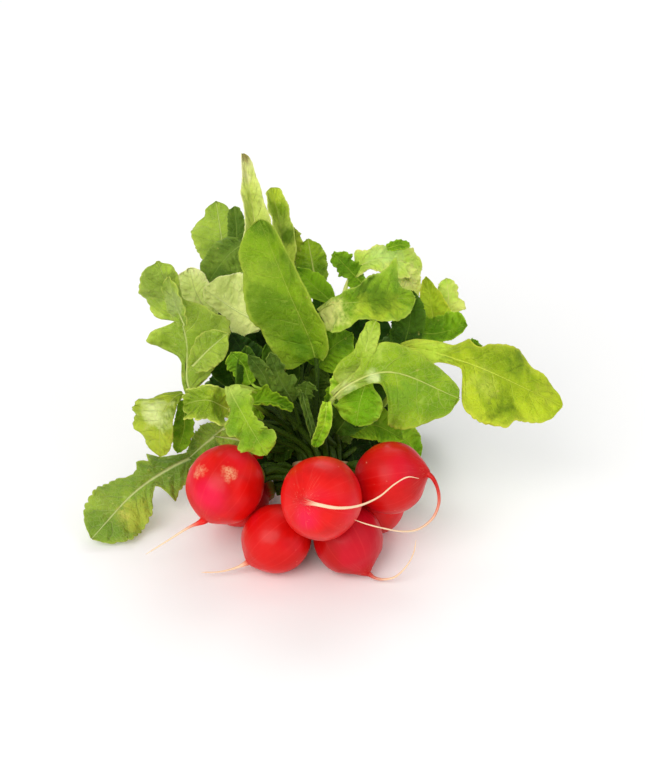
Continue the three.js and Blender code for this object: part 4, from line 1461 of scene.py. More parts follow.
@dataclass(frozen=True)
class Leaf(Blade):
    """One leaf of a radish, whose stalk runs from the neck through its seat in the band.

    lead and via are points that the stalk passes before and after the band, and seat is the ring
    in the band and the place in the ring.
    """

    _: KW_ONLY
    bulb: str
    seat: tuple[int, int]
    via: Triple
    lead: Triple | None = None

    @property
    def slot(self) -> Vector:
        """Where the stalk passes through the middle of the band."""
        ring, place = self.seat
        angle = 2 * math.pi * place / RING_ROOM[ring]
        way = TIE_SIDE * math.cos(angle) + TIE_TOP * math.sin(angle)
        return TIE_CENTRE + way * ((ring + 1) * STALK_PITCH)

    def curve(self, foot: Vector, radish: Radish) -> Curve:
        """The line along the leaf: off the neck, straight through the band, then its route.

        Args:
            foot: Where the stalk stands on the neck.
            radish: The radish that it belongs to.

        Returns:
            The line.
        """
        before = self.slot - TIE_AXIS * radish.dive
        after = self.slot + TIE_AXIS * STRAIGHT
        off = foot + radish.way_out * STRAIGHT
        lead = [Vector(self.lead)] if self.lead else []
        blade = map(Vector, self.route)
        return Curve([foot, off, *lead, before, after, Vector(self.via), *blade])

    def build(self, foot: Vector, radish: Radish, greens: "Greens") -> list[bpy.types.Object]:
        """Makes the leaf from its foot on the neck."""
        curve = self.curve(foot, radish)
        return self.dress(curve, curve.share_at(len(curve.points) - len(self.route)), greens)


@dataclass(frozen=True)
class Lobe(Blade):
    """A side lobe or an inner leaf, which leaves a rib or the bundle of stalks.

    The first points of its route, as many as stem says, lead to its base.
    """

    _: KW_ONLY
    face: Triple = (0, -0.85, 0.5)
    stem: int = 0

    ACROSS = 18
    ALONG = 56
    STALK = (0.8, 0.7, 0.5)
    RIB_TIP = 0.12

    def build(self, greens: "Greens") -> list[bpy.types.Object]:
        """Makes the lobe."""
        curve = Curve([Vector(p) for p in self.route])
        return self.dress(curve, curve.share_at(self.stem), greens)


LEAVES = (
    Leaf("leaf_far_left", "leaves_far_left", Green.DULL, ((-51, 50, 54), (-53, 58, 76), (-63, 57, 112)),
         bulb="bulb_left_middle", seat=(1, 7), face=(-0.1, -0.93, 0.35), lead=(-9, 41, 14),
         via=(-22, 55, 33), fold=-4, cup=-8, veins=7,
         left=((0, 1.5), (0.2, 1.5), (0.25, 3), (0.3, 10), (0.36, 15), (0.42, 16.5), (0.47, 13.5),
               (0.505, 5), (0.525, 2.2), (0.55, 8), (0.62, 11), (0.7, 11.5), (0.8, 12.5), (0.9, 10),
               (0.97, 5.5), (1, 0)),
         right=((0, 2.5), (0.05, 6), (0.12, 9), (0.2, 11.5), (0.27, 14.5), (0.35, 17.5), (0.42, 18),
                (0.5, 13.5), (0.57, 10.5), (0.63, 6), (0.68, 3.6), (0.75, 4.2), (0.85, 5.4),
                (0.94, 4.5), (1, 0))),
    Leaf("leaf_tallest", "leaves_tallest", Green.TALL,
         ((-22, 99, 77), (-26, 122, 103), (-31, 140, 125)), bulb="bulb_rear", seat=(2, 11),
         face=(0.45, -0.7, 0.6), lead=(-4, 45, 11), via=(-15, 76, 52), fold=14, cup=8, teeth=0.05,
         left=((0, 1.5), (0.15, 6), (0.33, 8), (0.47, 6), (0.57, 5), (0.7, 5), (0.81, 3.2), (0.92, 1.5),
               (1, 0.4)),
         right=((0, 1.5), (0.15, 6), (0.33, 8.2), (0.47, 7), (0.57, 6.1), (0.7, 4.6), (0.81, 3.8),
                (0.92, 3), (0.97, 2), (1, 0.4))),
    Leaf("leaf_upright", "leaves_far_left", Green.UPRIGHT,
         ((-12, 90, 82), (-13, 106, 100), (-18, 121, 117)), bulb="bulb_left_middle", seat=(1, 8),
         face=(0.45, -0.75, 0.5), lead=(-4, 42, 13), via=(-6, 70, 49), fold=34, cup=6,
         left=((0, 1.5), (0.2, 5), (0.5, 8.2), (0.75, 7.8), (0.9, 7.6), (0.97, 3), (1, 0)),
         right=((0, 1.5), (0.2, 4), (0.5, 4.8), (0.75, 4.6), (0.9, 4.2), (0.97, 3), (1, 0))),
    Leaf("leaf_big_front", "leaves_big_front", Green.BIG, ((1, 52, 70), (-10, 57, 99), (-22, 74, 123)),
         bulb="bulb_left_top", seat=(1, 4), face=(-0.45, -0.85, 0.36), lead=(-4, 28, 25),
         via=(1, 47, 44), fold=8, cup=10, sweep=0.35, teeth=0.025, wave=0.4, veins=6,
         left=((0, 9), (0.06, 13.5), (0.26, 17), (0.4, 18), (0.54, 17.6), (0.7, 15.6), (0.86, 12.4),
               (0.95, 8), (0.985, 4), (1, 0)),
         right=((0, 3), (0.08, 7), (0.16, 9), (0.24, 10), (0.4, 9.5), (0.58, 8), (0.745, 7.4),
                (0.885, 6), (0.96, 4), (1, 0))),
    Leaf("leaf_top_left", "leaves_tallest", Green.DULL,
         ((-37, 100, 72), (-40, 121, 86), (-44, 144, 100)), bulb="bulb_rear", seat=(2, 12),
         face=(-0.1, -0.6, 0.8), lead=(-6, 45, 13), via=(-10, 81, 56), fold=2, cup=-12, teeth=0.05,
         left=((0, 2), (0.1, 5), (0.17, 7), (0.3, 7.4), (0.39, 8.6), (0.49, 10.2), (0.61, 12.4),
               (0.72, 13), (0.8, 12.2), (0.86, 9.4), (0.885, 6), (0.94, 5.4), (0.97, 3.8), (1, 0)),
         right=((0, 3), (0.2, 7), (0.4, 9), (0.6, 10), (0.75, 9), (0.9, 5.5), (0.96, 3.8), (1, 0))),
    Leaf("leaf_pale_small", "leaves_pale_small", Green.CREAM,
         ((-43, 82, 73), (-50, 86, 83), (-53, 92, 92)), bulb="bulb_left_front", seat=(1, 5),
         face=(0, -0.75, 0.66), lead=(-4, 26, 17), via=(-13, 63, 48), fold=6, cup=10,
         left=((0, 2), (0.2, 5), (0.5, 7.5), (0.75, 7), (0.92, 4.5), (1, 0)),
         right=((0, 2), (0.2, 5), (0.5, 6), (0.75, 6), (0.92, 4), (1, 0))),
    Leaf("leaf_pale_back", "leaf_pale_back", Green.CREAM, ((-21, 68, 76), (-34, 76, 81), (-46, 78, 89)),
         bulb="bulb_right_front", seat=(2, 3), face=(0.1, 0.9, -0.4), lead=(9, 27, 24),
         via=(-5, 61, 50), fold=6, cup=8, teeth=0.03,
         left=((0, 2), (0.15, 8), (0.35, 14), (0.55, 15), (0.75, 12.5), (0.9, 8), (0.97, 4), (1, 0)),
         right=((0, 2), (0.12, 5.5), (0.3, 9.4), (0.42, 9), (0.5, 5), (0.7, 4.5), (0.9, 4), (1, 0))),
    Leaf("leaf_droop_left", "leaves_droop_left", Green.LIME,
         ((-54, 45, 57), (-62, 32, 54), (-64, 33, 33)), bulb="bulb_left_top", seat=(2, 7),
         face=(-0.35, -0.8, 0.4), lead=(-12, 33, 29), via=(-39, 38, 48), fold=4, cup=-14,
         left=((0, 1.5), (0.2, 2.5), (0.4, 4.5), (0.6, 5.5), (0.8, 5), (0.94, 3), (1, 0)),
         right=((0, 2), (0.12, 5), (0.25, 10.5), (0.4, 14), (0.55, 14.5), (0.7, 13), (0.82, 10),
                (0.92, 6.5), (0.97, 4), (1, 0))),
    Leaf("leaf_low_left", "leaves_far_left", Green.LOW, ((-49, 54, 21), (-73, 34, 17), (-92, 14, 5)),
         bulb="bulb_left_middle", seat=(2, 10), face=(-0.25, -0.8, 0.55), lead=(-9, 42, 17),
         via=(-26, 37, 34), fold=2, cup=-6, teeth=0.09,
         left=((0, 1.5), (0.1, 3), (0.15, 6), (0.22, 9), (0.3, 10.5), (0.36, 12.5), (0.39, 5),
               (0.42, 3), (0.45, 4), (0.5, 6.5), (0.58, 11), (0.7, 13), (0.82, 12.4), (0.92, 8.5),
               (0.97, 5), (1, 0)),
         right=((0, 2), (0.12, 3), (0.22, 6), (0.3, 10.3), (0.335, 7), (0.4, 9.6), (0.44, 7),
                (0.5, 6.6), (0.6, 10), (0.7, 12.7), (0.82, 12), (0.9, 9.5), (0.96, 6), (1, 0))),
    Leaf("leaf_curl_left", "leaves_big_front", Green.UPRIGHT,
         ((-34, 25, 61), (-42, 17, 70), (-52, 24, 64)), bulb="bulb_left_top", seat=(2, 6),
         face=(0, -0.85, 0.5), lead=(-3, 32, 23), via=(-19, 31, 50), fold=10, cup=20, wave=3, teeth=0.1,
         left=((0, 2), (0.15, 6), (0.35, 8.5), (0.6, 8), (0.85, 6), (1, 1)),
         right=((0, 2), (0.15, 4), (0.4, 6.5), (0.65, 5.5), (0.85, 4), (1, 1))),
    Leaf("leaf_hang_front", "leaves_hang_front", Green.WAVY,
         ((-33, 18, 76), (-27, 9, 67), (-18, 4, 52)), bulb="bulb_middle_top", seat=(2, 5),
         face=(0, -0.95, 0.3), lead=(5, 26, 33), via=(-18, 38, 58), fold=6, cup=-10, teeth=0.18, wave=3,
         veins=4,
         left=((0, 1), (0.1, 4), (0.2, 6.6), (0.3, 5.6), (0.45, 3.4), (0.55, 3.8), (0.65, 5.2),
               (0.85, 6.6), (0.95, 3.8), (1, 0)),
         right=((0, 1), (0.15, 2.2), (0.3, 3.2), (0.4, 6.5), (0.47, 9), (0.55, 8), (0.62, 6),
                (0.75, 7.4), (0.88, 5), (0.95, 2.5), (1, 0))),
    Leaf("leaf_curl_front", "leaves_droop_left", Green.MOSS,
         ((-25, 33, 59), (-17, 33, 60), (-8, 31, 57)), bulb="bulb_left_top", seat=(2, 8),
         face=(0, -0.6, 0.8), lead=(-12, 33, 26), via=(-11, 44, 41), fold=24, cup=34, wave=2.5,
         teeth=0.1,
         left=((0, 2), (0.2, 5), (0.35, 6.5), (0.5, 4.2), (0.7, 3.6), (0.9, 2.8), (1, 1)),
         right=((0, 2), (0.3, 4.4), (0.6, 4), (0.9, 3), (1, 1))),
    Leaf("leaf_strap", "leaves_strap", Green.NEW, ((6, 21, 67), (5, 21, 56), (1, 23, 44)),
         bulb="bulb_right_top", seat=(2, 17), face=(0, -0.95, 0.3), lead=(16, 36, 22), via=(5, 31, 47),
         fold=6, cup=10, teeth=0.02, wave=0.3, veins=2,
         left=((0, 0.8), (0.14, 1.6), (0.4, 2.3), (0.8, 2.2), (0.95, 1.4), (1, 0))),
    Leaf("leaf_front_right", "leaves_hang_front", Green.FRESH,
         ((9, 30, 64), (30, 31, 75), (60, 27, 65)), bulb="bulb_middle_top", seat=(2, 4),
         face=(0.1, -0.85, 0.5), lead=(7, 23, 30), via=(5, 32, 46), cup=-8, teeth=0.03, wave=0.8,
         veins=6,
         left=((0, 1.5), (0.2, 2.5), (0.27, 4.5), (0.31, 10.4), (0.45, 11.8), (0.56, 10.6), (0.7, 9),
               (0.83, 7.2), (0.93, 5.2), (0.98, 3.4), (1, 0)),
         right=((0, 1.5), (0.2, 2.5), (0.3, 2.8), (0.38, 4), (0.435, 10.5), (0.49, 17.5), (0.57, 21.2),
                (0.66, 21.7), (0.76, 19.5), (0.84, 16), (0.9, 12), (0.97, 7.5), (1, 0))),
    Leaf("leaf_far_right", "leaves_strap", Green.YELLOW, ((37, 54, 73), (62, 40, 75), (104, 38, 55)),
         bulb="bulb_right_top", seat=(1, 1), face=(0.2, -0.7, 0.7), lead=(14, 35, 23), via=(18, 50, 60),
         fold=4, cup=-8, teeth=0.04, veins=9,
         left=((0, 2), (0.1, 4), (0.2, 4.4), (0.28, 5), (0.32, 7.5), (0.37, 10), (0.41, 8), (0.44, 7.6),
               (0.49, 10.7), (0.59, 13.9), (0.68, 14.6), (0.74, 12), (0.77, 9.8), (0.84, 8.8),
               (0.92, 5.8), (0.97, 3.6), (1, 0)),
         right=((0, 3), (0.06, 6.5), (0.14, 8), (0.2, 6), (0.25, 3.2), (0.3, 2.4), (0.36, 2.2),
                (0.385, 2.4), (0.405, 5), (0.43, 11), (0.475, 17.6), (0.56, 20.7), (0.63, 20),
                (0.735, 18.8), (0.75, 15), (0.82, 13), (0.9, 11), (0.965, 7), (1, 0))),
    Leaf("leaf_wavy_right", "leaves_hang_front", Green.WAVY, ((3, 64, 85), (22, 55, 95), (43, 64, 92)),
         bulb="bulb_middle_top", seat=(0, 3), face=(0, -0.8, 0.6), lead=(1, 26, 24), via=(-5, 56, 57),
         fold=6, cup=10, wave=2.2, teeth=0.05,
         left=((0, 1), (0.12, 1.4), (0.27, 3.4), (0.4, 5), (0.51, 8), (0.62, 10.6), (0.7, 12),
               (0.75, 15.5), (0.79, 10.6), (0.88, 4.5), (0.96, 2.5), (1, 0)),
         right=((0, 4), (0.05, 7), (0.17, 11.5), (0.3, 12.4), (0.38, 9.5), (0.45, 7), (0.54, 8.2),
                (0.68, 10), (0.8, 9), (0.89, 6.5), (0.96, 3.8), (1, 0))),
    Leaf("leaf_ragged_right", "leaves_ragged_right", Green.RAGGED,
         ((16, 96, 86), (30, 96, 95), (48, 104, 86)), bulb="bulb_right_middle", seat=(0, 0),
         face=(0, -0.65, 0.75), lead=(12, 36, 20), via=(10, 70, 51), fold=4, cup=8, teeth=0.12,
         wave=2.4,
         left=((0, 1.5), (0.08, 4), (0.14, 2.5), (0.2, 5.5), (0.35, 4.5), (0.5, 5.2), (0.62, 8),
               (0.72, 9), (0.76, 6), (0.88, 6.5), (0.95, 4), (1, 0)),
         right=((0, 1.5), (0.1, 3.5), (0.25, 3), (0.4, 6), (0.55, 8.5), (0.7, 9), (0.85, 7.5),
                (0.93, 4.5), (1, 0))),
    Leaf("leaf_top_right", "leaves_strap", Green.YELLOW, ((52, 82, 66), (51, 84, 79), (49, 92, 88)),
         bulb="bulb_right_top", seat=(1, 0), face=(0, -0.7, 0.7), lead=(10, 40, 19), via=(31, 53, 48),
         fold=6, cup=12, teeth=0.04,
         left=((0, 8), (0.3, 6.4), (0.6, 4.4), (0.8, 3), (0.93, 1.6), (1, 0)),
         right=((0, 8), (0.15, 9), (0.3, 8), (0.6, 5), (0.8, 2.6), (0.93, 1.2), (1, 0))),
    Leaf("leaf_dark_right", "leaves_ragged_right", Green.MOSS,
         ((39, 64, 74), (53, 70, 72), (65, 64, 79)), bulb="bulb_right_middle", seat=(0, 4),
         face=(0, -0.6, 0.8), lead=(4, 42, 16), via=(12, 59, 36), fold=8, cup=8,
         left=((0, 3), (0.3, 6), (0.6, 7), (0.85, 6.8), (0.95, 5), (1, 0)),
         right=((0, 3), (0.3, 5), (0.6, 5), (0.8, 4.5), (0.93, 3), (1, 0))),
    Leaf("leaf_round_back", "leaf_round_back", Green.FRESH, ((2, 96, 78), (0, 103, 88), (-2, 108, 98)),
         bulb="bulb_left_front", seat=(1, 9), face=(0.1, -0.7, 0.7), via=(0, 75, 54), fold=4, cup=-12,
         wave=2,
         left=((0, 2), (0.2, 5.5), (0.45, 7), (0.7, 6.4), (0.88, 4.6), (0.96, 2.8), (1, 0)),
         right=((0, 2), (0.15, 3.5), (0.35, 5.6), (0.6, 6.4), (0.8, 5.6), (0.92, 3.4), (1, 0))),
    Leaf("leaf_narrow_middle", "leaves_pale_small", Green.MOSS,
         ((8, 75, 83), (1, 78, 90), (-7, 82, 97)), bulb="bulb_left_front", seat=(1, 6),
         face=(0.3, -0.7, 0.6), lead=(-4, 32, 17), via=(-3, 67, 50), half=5, fold=10, cup=10, point=0.8),
    Leaf("leaf_middle_right", "leaf_middle_right", Green.MOSS, ((2, 62, 60), (8, 62, 69), (17, 68, 73)),
         bulb="bulb_right_front", seat=(1, 2), face=(0, -0.8, 0.5), lead=(6, 29, 17), via=(3, 56, 37),
         fold=4, cup=6, teeth=0.03,
         left=((0, 2), (0.1, 6.5), (0.3, 8.5), (0.5, 8), (0.8, 5.5), (1, 0)),
         right=((0, 3), (0.1, 7.5), (0.3, 9), (0.5, 8.5), (0.8, 6), (1, 0))),
    # The inner leaves here take the darkest tone, whose darkness is painted shade.
    Leaf("leaf_inner_left", "leaves_far_left", Green.INNER,
         ((-32, 66, 48), (-37, 68, 59), (-43, 68, 72)), bulb="bulb_left_middle", seat=(2, 9),
         face=(0.1, -0.8, 0.5), lead=(-10, 39, 20), via=(-13, 55, 39), fold=8, cup=10),
    Leaf("leaf_inner_middle", "leaves_hang_front", Green.INNER,
         ((-20, 52, 50), (-26, 39, 68), (-27, 42, 81)), bulb="bulb_middle_top", seat=(0, 2),
         face=(0.1, -0.85, 0.45), lead=(4, 19, 24), via=(-3, 50, 46), half=7, fold=8, cup=12),
    Leaf("leaf_inner_front", "leaves_hang_front", Green.INNER,
         ((-9, 52, 51), (-12, 56, 57), (-19, 58, 73)), bulb="bulb_middle_top", seat=(1, 3),
         face=(0.1, -0.85, 0.45), lead=(6, 23, 26), via=(4, 40, 40), fold=8, cup=12),
    Leaf("leaf_inner_right", "leaves_strap", Green.INNER, ((10, 35, 43), (18, 36, 57), (21, 42, 69)),
         bulb="bulb_right_top", seat=(2, 2), face=(0, -0.85, 0.45), via=(11, 43, 34), fold=8, cup=10),
    Leaf("leaf_low_right", "leaves_strap", Green.NEW, ((30, 59, 29), (40, 62, 24), (47, 60, 16)),
         bulb="bulb_right_top", seat=(2, 0), face=(0.2, -0.7, 0.7), lead=(19, 37, 24), via=(13, 44, 26),
         half=6, fold=6, cup=10),
    Leaf("leaf_under_right", "leaf_under_right", Green.MOSS, ((15, 40, 42), (26, 44, 42), (38, 41, 37)),
         bulb="bulb_right_middle", seat=(1, 10), face=(0, -0.7, 0.7), lead=(7, 37, 12),
         via=(17, 53, 38), half=7, fold=6, cup=10),
    # The rear leaves take the same darkest tone of painted shade.
    Leaf("leaf_rear_left", "leaves_tallest", Green.INNER,
         ((-20, 80, 44), (-36, 108, 31), (-47, 125, 7)), bulb="bulb_rear", seat=(2, 13),
         face=(-0.2, 0.3, 0.93), lead=(-2, 47, 7), via=(-7, 69, 31), half=14, fold=4, cup=-10,
         point=0.5, ears=9),
    Leaf("leaf_rear_middle", "leaves_tallest", Green.INNER, ((1, 90, 45), (5, 116, 31), (6, 142, 4)),
         bulb="bulb_rear", seat=(2, 16), face=(0, 0.3, 0.95), via=(16, 66, 32), half=15, fold=4,
         cup=-10, point=0.5, ears=9),
    Leaf("leaf_rear_right", "leaves_ragged_right", Green.INNER,
         ((22, 64, 53), (41, 96, 37), (54, 112, 14)), bulb="bulb_right_middle", seat=(0, 1),
         face=(0.2, 0.3, 0.93), via=(8, 68, 38), half=14, fold=4, cup=-10, point=0.5, ears=9),
)


LOBES = (
    Lobe("lobe_puckered", "leaves_tallest", Green.PUCKERED,
         ((-30, 98, 101), (-37, 95, 96), (-46, 92, 84)), face=(-0.1, -0.75, 0.65), pucker=2.6, veins=9,
         fold=4, cup=-6,
         left=((0, 3), (0.2, 6.5), (0.5, 8), (0.8, 7), (0.94, 4), (1, 0))),
    Lobe("lobe_dark_top", "leaves_tallest", Green.PUCKERED,
         ((-34, 122, 88), (-34, 124, 97), (-35, 127, 105)), face=(0, -0.7, 0.7), teeth=0.12, wave=2,
         veins=4,
         left=((0, 3), (0.3, 3.6), (0.7, 3.4), (0.92, 2.4), (1, 0))),
    Lobe("lobe_crumpled", "leaves_far_left", Green.LIME,
         ((-10, 103, 88), (-8, 106, 96), (-8, 109, 103)), face=(0.2, -0.8, 0.5), teeth=0.2, wave=5,
         veins=3,
         left=((0, 1.5), (0.3, 2.2), (0.6, 2.6), (0.9, 2), (1, 0)),
         right=((0, 1.5), (0.3, 2.2), (0.6, 2.8), (0.9, 2), (1, 0))),
    Lobe("lobe_right_up", "leaves_hang_front", Green.FRESH, ((25, 36, 71), (22, 38, 81), (26, 44, 92)),
         face=(-0.1, -0.85, 0.5), fold=2, cup=8, teeth=0.04, sweep=0.2, veins=5,
         left=((0, 3), (0.1, 12), (0.2, 15), (0.3, 13.5), (0.37, 9.5), (0.43, 5), (0.5, 4), (0.7, 3.4),
               (0.88, 3), (0.96, 2), (1, 0)),
         right=((0, 1.5), (0.15, 1.5), (0.3, 2.5), (0.45, 3.6), (0.65, 4), (0.85, 3.2), (0.95, 2),
                (1, 0))),
    Lobe("lobe_right_down", "leaves_hang_front", Green.NEW, ((23, 36, 70), (20, 33, 61), (18, 30, 50)),
         face=(-0.1, -0.9, 0.35), cup=-8, teeth=0.03, veins=4,
         left=((0, 1.5), (0.15, 3), (0.35, 8), (0.6, 9.5), (0.8, 8.5), (0.93, 5.5), (1, 0)),
         right=((0, 8), (0.15, 13), (0.3, 14), (0.45, 13.5), (0.6, 11.5), (0.75, 9), (0.88, 6.5),
                (0.96, 3.6), (1, 0))),
    Lobe("lobe_ragged_dark", "leaves_ragged_right", Green.MOSS,
         ((22, 94, 83), (16, 94, 90), (9, 94, 98)), face=(0, -0.8, 0.6), teeth=0.2, wave=2.5, veins=4,
         left=((0, 1.5), (0.2, 4.5), (0.35, 2.5), (0.55, 5), (0.7, 3), (0.85, 3.6), (1, 0.5)),
         right=((0, 1.5), (0.2, 3), (0.4, 5.5), (0.55, 3.4), (0.7, 5), (0.88, 3), (1, 0.5))),
    Lobe("lobe_ragged_curl", "leaves_ragged_right", Green.MOSS,
         ((32, 97, 99), (37, 98, 100), (42, 99, 100)), face=(0, -0.6, 0.8), teeth=0.03, wave=1.5,
         cup=24, veins=3,
         left=((0, 1), (0.4, 2), (0.8, 1.6), (1, 0.6)),
         right=((0, 1), (0.4, 2.6), (0.8, 2.2), (1, 0.6))),
    Lobe("lobe_frilled", "leaves_strap", Green.RAGGED, ((56, 88, 68), (59, 90, 77), (58, 94, 86)),
         face=(0.1, -0.75, 0.6), teeth=0.14, wave=3, veins=5,
         left=((0, 2), (0.3, 4), (0.6, 4.5), (0.85, 3.6), (0.95, 2.4), (1, 0)),
         right=((0, 2), (0.2, 4), (0.36, 6), (0.48, 7.2), (0.58, 3.6), (0.75, 4.2), (0.92, 3), (1, 0))),
    Lobe("lobe_droop_dark", "leaves_droop_left", Green.MOSS,
         ((-54, 46, 53), (-54, 43, 41), (-57, 39, 31)), face=(0.1, -0.85, 0.4), teeth=0.1, wave=2,
         veins=4,
         left=((0, 1.5), (0.3, 3), (0.6, 4), (0.85, 3), (1, 0)),
         right=((0, 1.5), (0.3, 3.5), (0.6, 4.5), (0.85, 3), (1, 0))),
    Lobe("lobe_low_base", "leaves_far_left", Green.LOW, ((-37, 50, 37), (-46, 50, 29), (-53, 48, 23)),
         face=(-0.2, -0.8, 0.55), teeth=0.16, wave=2,
         left=((0, 2), (0.2, 5.5), (0.4, 7), (0.6, 6.4), (0.8, 5), (0.95, 2.5), (1, 0)),
         right=((0, 2), (0.2, 5), (0.4, 6.5), (0.6, 6.5), (0.8, 4.4), (0.95, 2.5), (1, 0))),
    # The lobes below are small leaves inside the bunch; those in the dusk tone are darkened with painted
    # shade.
    Lobe("sprout_front", "", Green.DUSK, ((1, 36, 36), (-2, 38, 49), (-3, 40, 57), (-2, 42, 64)),
         stem=2, wave=3.5, teeth=0.25, fold=10, cup=14, veins=2,
         left=((0, 1.5), (0.2, 3), (0.4, 2), (0.6, 4), (0.8, 3), (1, 0.6)),
         right=((0, 1.5), (0.3, 3.4), (0.5, 2.4), (0.7, 4.4), (0.9, 3), (1, 0.6))),
    Lobe("dusk_tip", "", Green.MOSS, ((-18, 36, 63), (-25, 37, 66), (-28, 38, 74), (-33, 38, 80)),
         face=(-0.3, -0.85, 0.35), stem=1, teeth=0.08, veins=3,
         left=((0, 2), (0.3, 5), (0.6, 6.5), (0.85, 5.5), (1, 0)),
         right=((0, 2), (0.3, 3), (0.6, 4), (0.85, 3), (1, 0))),
    Lobe("dusk_curved", "", Green.DUSK, ((-11, 38, 48), (-16, 37, 60), (-20, 36, 71), (-26, 36, 80)),
         face=(-0.2, -0.8, 0.5), stem=1, teeth=0.1, wave=2, veins=3,
         left=((0, 1), (0.3, 2.6), (0.6, 3.2), (0.85, 2.4), (1, 0)),
         right=((0, 1), (0.3, 3), (0.6, 3.4), (0.85, 2.6), (1, 0))),
    Lobe("dusk_lobed", "", Green.DUSK, ((-5, 40, 44), (-8, 39, 56), (-13, 38, 67), (-17, 38, 80)),
         face=(0.2, -0.8, 0.5), stem=1, teeth=0.15, wave=2.5, veins=4,
         left=((0, 1), (0.15, 5), (0.25, 2.5), (0.4, 5.5), (0.52, 3), (0.7, 4), (0.9, 2.6), (1, 0)),
         right=((0, 1), (0.12, 5), (0.24, 3), (0.38, 6.5), (0.5, 3), (0.7, 3.4), (0.9, 2), (1, 0))),
    Lobe("dusk_left", "", Green.MOSS, ((-9, 46, 41), (-21, 48, 42), (-31, 50, 47), (-39, 52, 53)),
         face=(0, -0.8, 0.6), stem=1, teeth=0.16, pucker=2, wave=2.5,
         left=((0, 1), (0.3, 5), (0.5, 3), (0.7, 6), (0.9, 4), (1, 0)),
         right=((0, 1), (0.3, 4.5), (0.5, 3.4), (0.7, 5), (0.9, 3), (1, 0))),
    Lobe("dusk_right", "", Green.DUSK, ((6, 48, 29), (10, 52, 36), (16, 54, 39), (23, 56, 42)),
         face=(0, -0.8, 0.6), stem=1, teeth=0.16, pucker=2, wave=2.5,
         left=((0, 1), (0.3, 5), (0.5, 3.4), (0.7, 6), (0.9, 4), (1, 0))),
    Lobe("dusk_low_right", "", Green.DUSK, ((8, 42, 31), (12, 44, 35), (16, 45, 38), (21, 46, 41)),
         face=(0, -0.8, 0.6), stem=1, teeth=0.2, wave=3, veins=3,
         left=((0, 1), (0.2, 3.4), (0.4, 2.2), (0.6, 4), (0.8, 2.8), (1, 0)),
         right=((0, 1), (0.2, 3.6), (0.4, 2.4), (0.6, 4), (0.8, 2.8), (1, 0))),
    Lobe("dusk_middle", "", Green.DUSK, ((2, 54, 28), (4, 60, 40), (2, 66, 49), (6, 70, 55)),
         face=(0.1, -0.8, 0.6), stem=1, teeth=0.16, pucker=2, wave=2.5,
         left=((0, 1), (0.2, 5), (0.4, 3), (0.6, 6), (0.8, 4), (1, 0)),
         right=((0, 1), (0.2, 5), (0.4, 3.4), (0.6, 5), (0.8, 4), (1, 0))),
    # Inner leaves in the darkest tone, whose darkness is painted shade.
    Lobe("inner_left", "", Green.INNER, ((2, 56, 24), (-5, 64, 35), (-18, 72, 45), (-33, 82, 62)),
         face=(0.1, -0.85, 0.45), stem=1, half=10, teeth=0.16, pucker=2, wave=2.5),
    Lobe("inner_upper", "", Green.INNER, ((3, 56, 24), (2, 68, 40), (11, 76, 50), (17, 84, 63)),
         face=(0, -0.85, 0.45), stem=1, half=9, teeth=0.16, pucker=2, wave=2.5),
    Lobe("inner_right", "", Green.INNER, ((7, 54, 25), (14, 62, 36), (28, 72, 48), (42, 80, 68)),
         face=(-0.1, -0.85, 0.45), stem=1, half=11, teeth=0.16, pucker=2, wave=2.5),
    Lobe("inner_low", "", Green.INNER, ((0, 42, 30), (-6, 44, 33), (-14, 46, 30), (-23, 48, 29)),
         face=(0.1, -0.8, 0.5), stem=1, half=6, teeth=0.16, pucker=2, wave=2.5),
    # The shade lobes are near-black sheets of painted shade, which fill the dark gaps between the
    # stalks.
    Lobe("shade_a", "", Green.SHADE, ((2, 60, 22), (-6, 76, 31), (-22, 90, 42), (-38, 98, 58)), stem=1,
         half=14),
    Lobe("shade_b", "", Green.SHADE, ((3, 62, 20), (0, 80, 32), (-10, 94, 46), (-21, 102, 62)), stem=1,
         half=15),
    Lobe("shade_c", "", Green.SHADE, ((5, 62, 20), (6, 82, 32), (7, 96, 44), (8, 104, 59)), stem=1,
         half=16),
    Lobe("shade_d", "", Green.SHADE, ((7, 62, 20), (12, 80, 33), (21, 92, 48), (32, 100, 63)), stem=1,
         half=15),
    Lobe("shade_e", "", Green.SHADE, ((8, 60, 21), (16, 70, 30), (32, 80, 41), (47, 86, 54)), stem=1,
         half=13),
    Lobe("shade_f", "", Green.SHADE, ((0, 58, 21), (-10, 66, 29), (-27, 74, 37), (-45, 80, 44)), stem=1,
         half=12),
    Lobe("shade_g", "", Green.SHADE, ((0, 52, 24), (-10, 56, 25), (-22, 60, 27), (-36, 60, 32)),
         face=(0, -0.8, 0.6), stem=1, half=9),
    Lobe("shade_h", "", Green.SHADE, ((8, 52, 25), (14, 56, 26), (23, 60, 28), (34, 62, 32)),
         face=(0, -0.8, 0.6), stem=1, half=10),
    Lobe("lobe_fold_left", "leaves_far_left", Green.DULL,
         ((-53, 52, 85), (-57, 53, 97), (-59, 55, 106)), face=(-0.6, -0.7, 0.4), fold=6, cup=8,
         teeth=0.04, veins=4,
         left=((0, 2), (0.3, 4), (0.6, 4), (0.85, 3.4), (1, 0)),
         right=((0, 1.5), (0.3, 4.4), (0.6, 5), (0.85, 4), (1, 0))),
    # A leaf in the darkest tone, painted with the shade of the gap.
    Lobe("lobe_dark_gap", "leaves_ragged_right", Green.INNER,
         ((38, 60, 69), (41, 64, 80), (42, 68, 93)), face=(0, -0.8, 0.6), teeth=0.1, wave=2,
         left=((0, 4), (0.3, 7), (0.6, 7), (0.85, 5), (1, 0)),
         right=((0, 4), (0.3, 6), (0.6, 6), (0.85, 4), (1, 0))),
    Lobe("lobe_strap_crinkle", "leaves_strap", Green.MOSS, ((64, 46, 73), (66, 48, 77), (67, 50, 80)),
         face=(0, -0.8, 0.6), teeth=0.3, wave=4, veins=2,
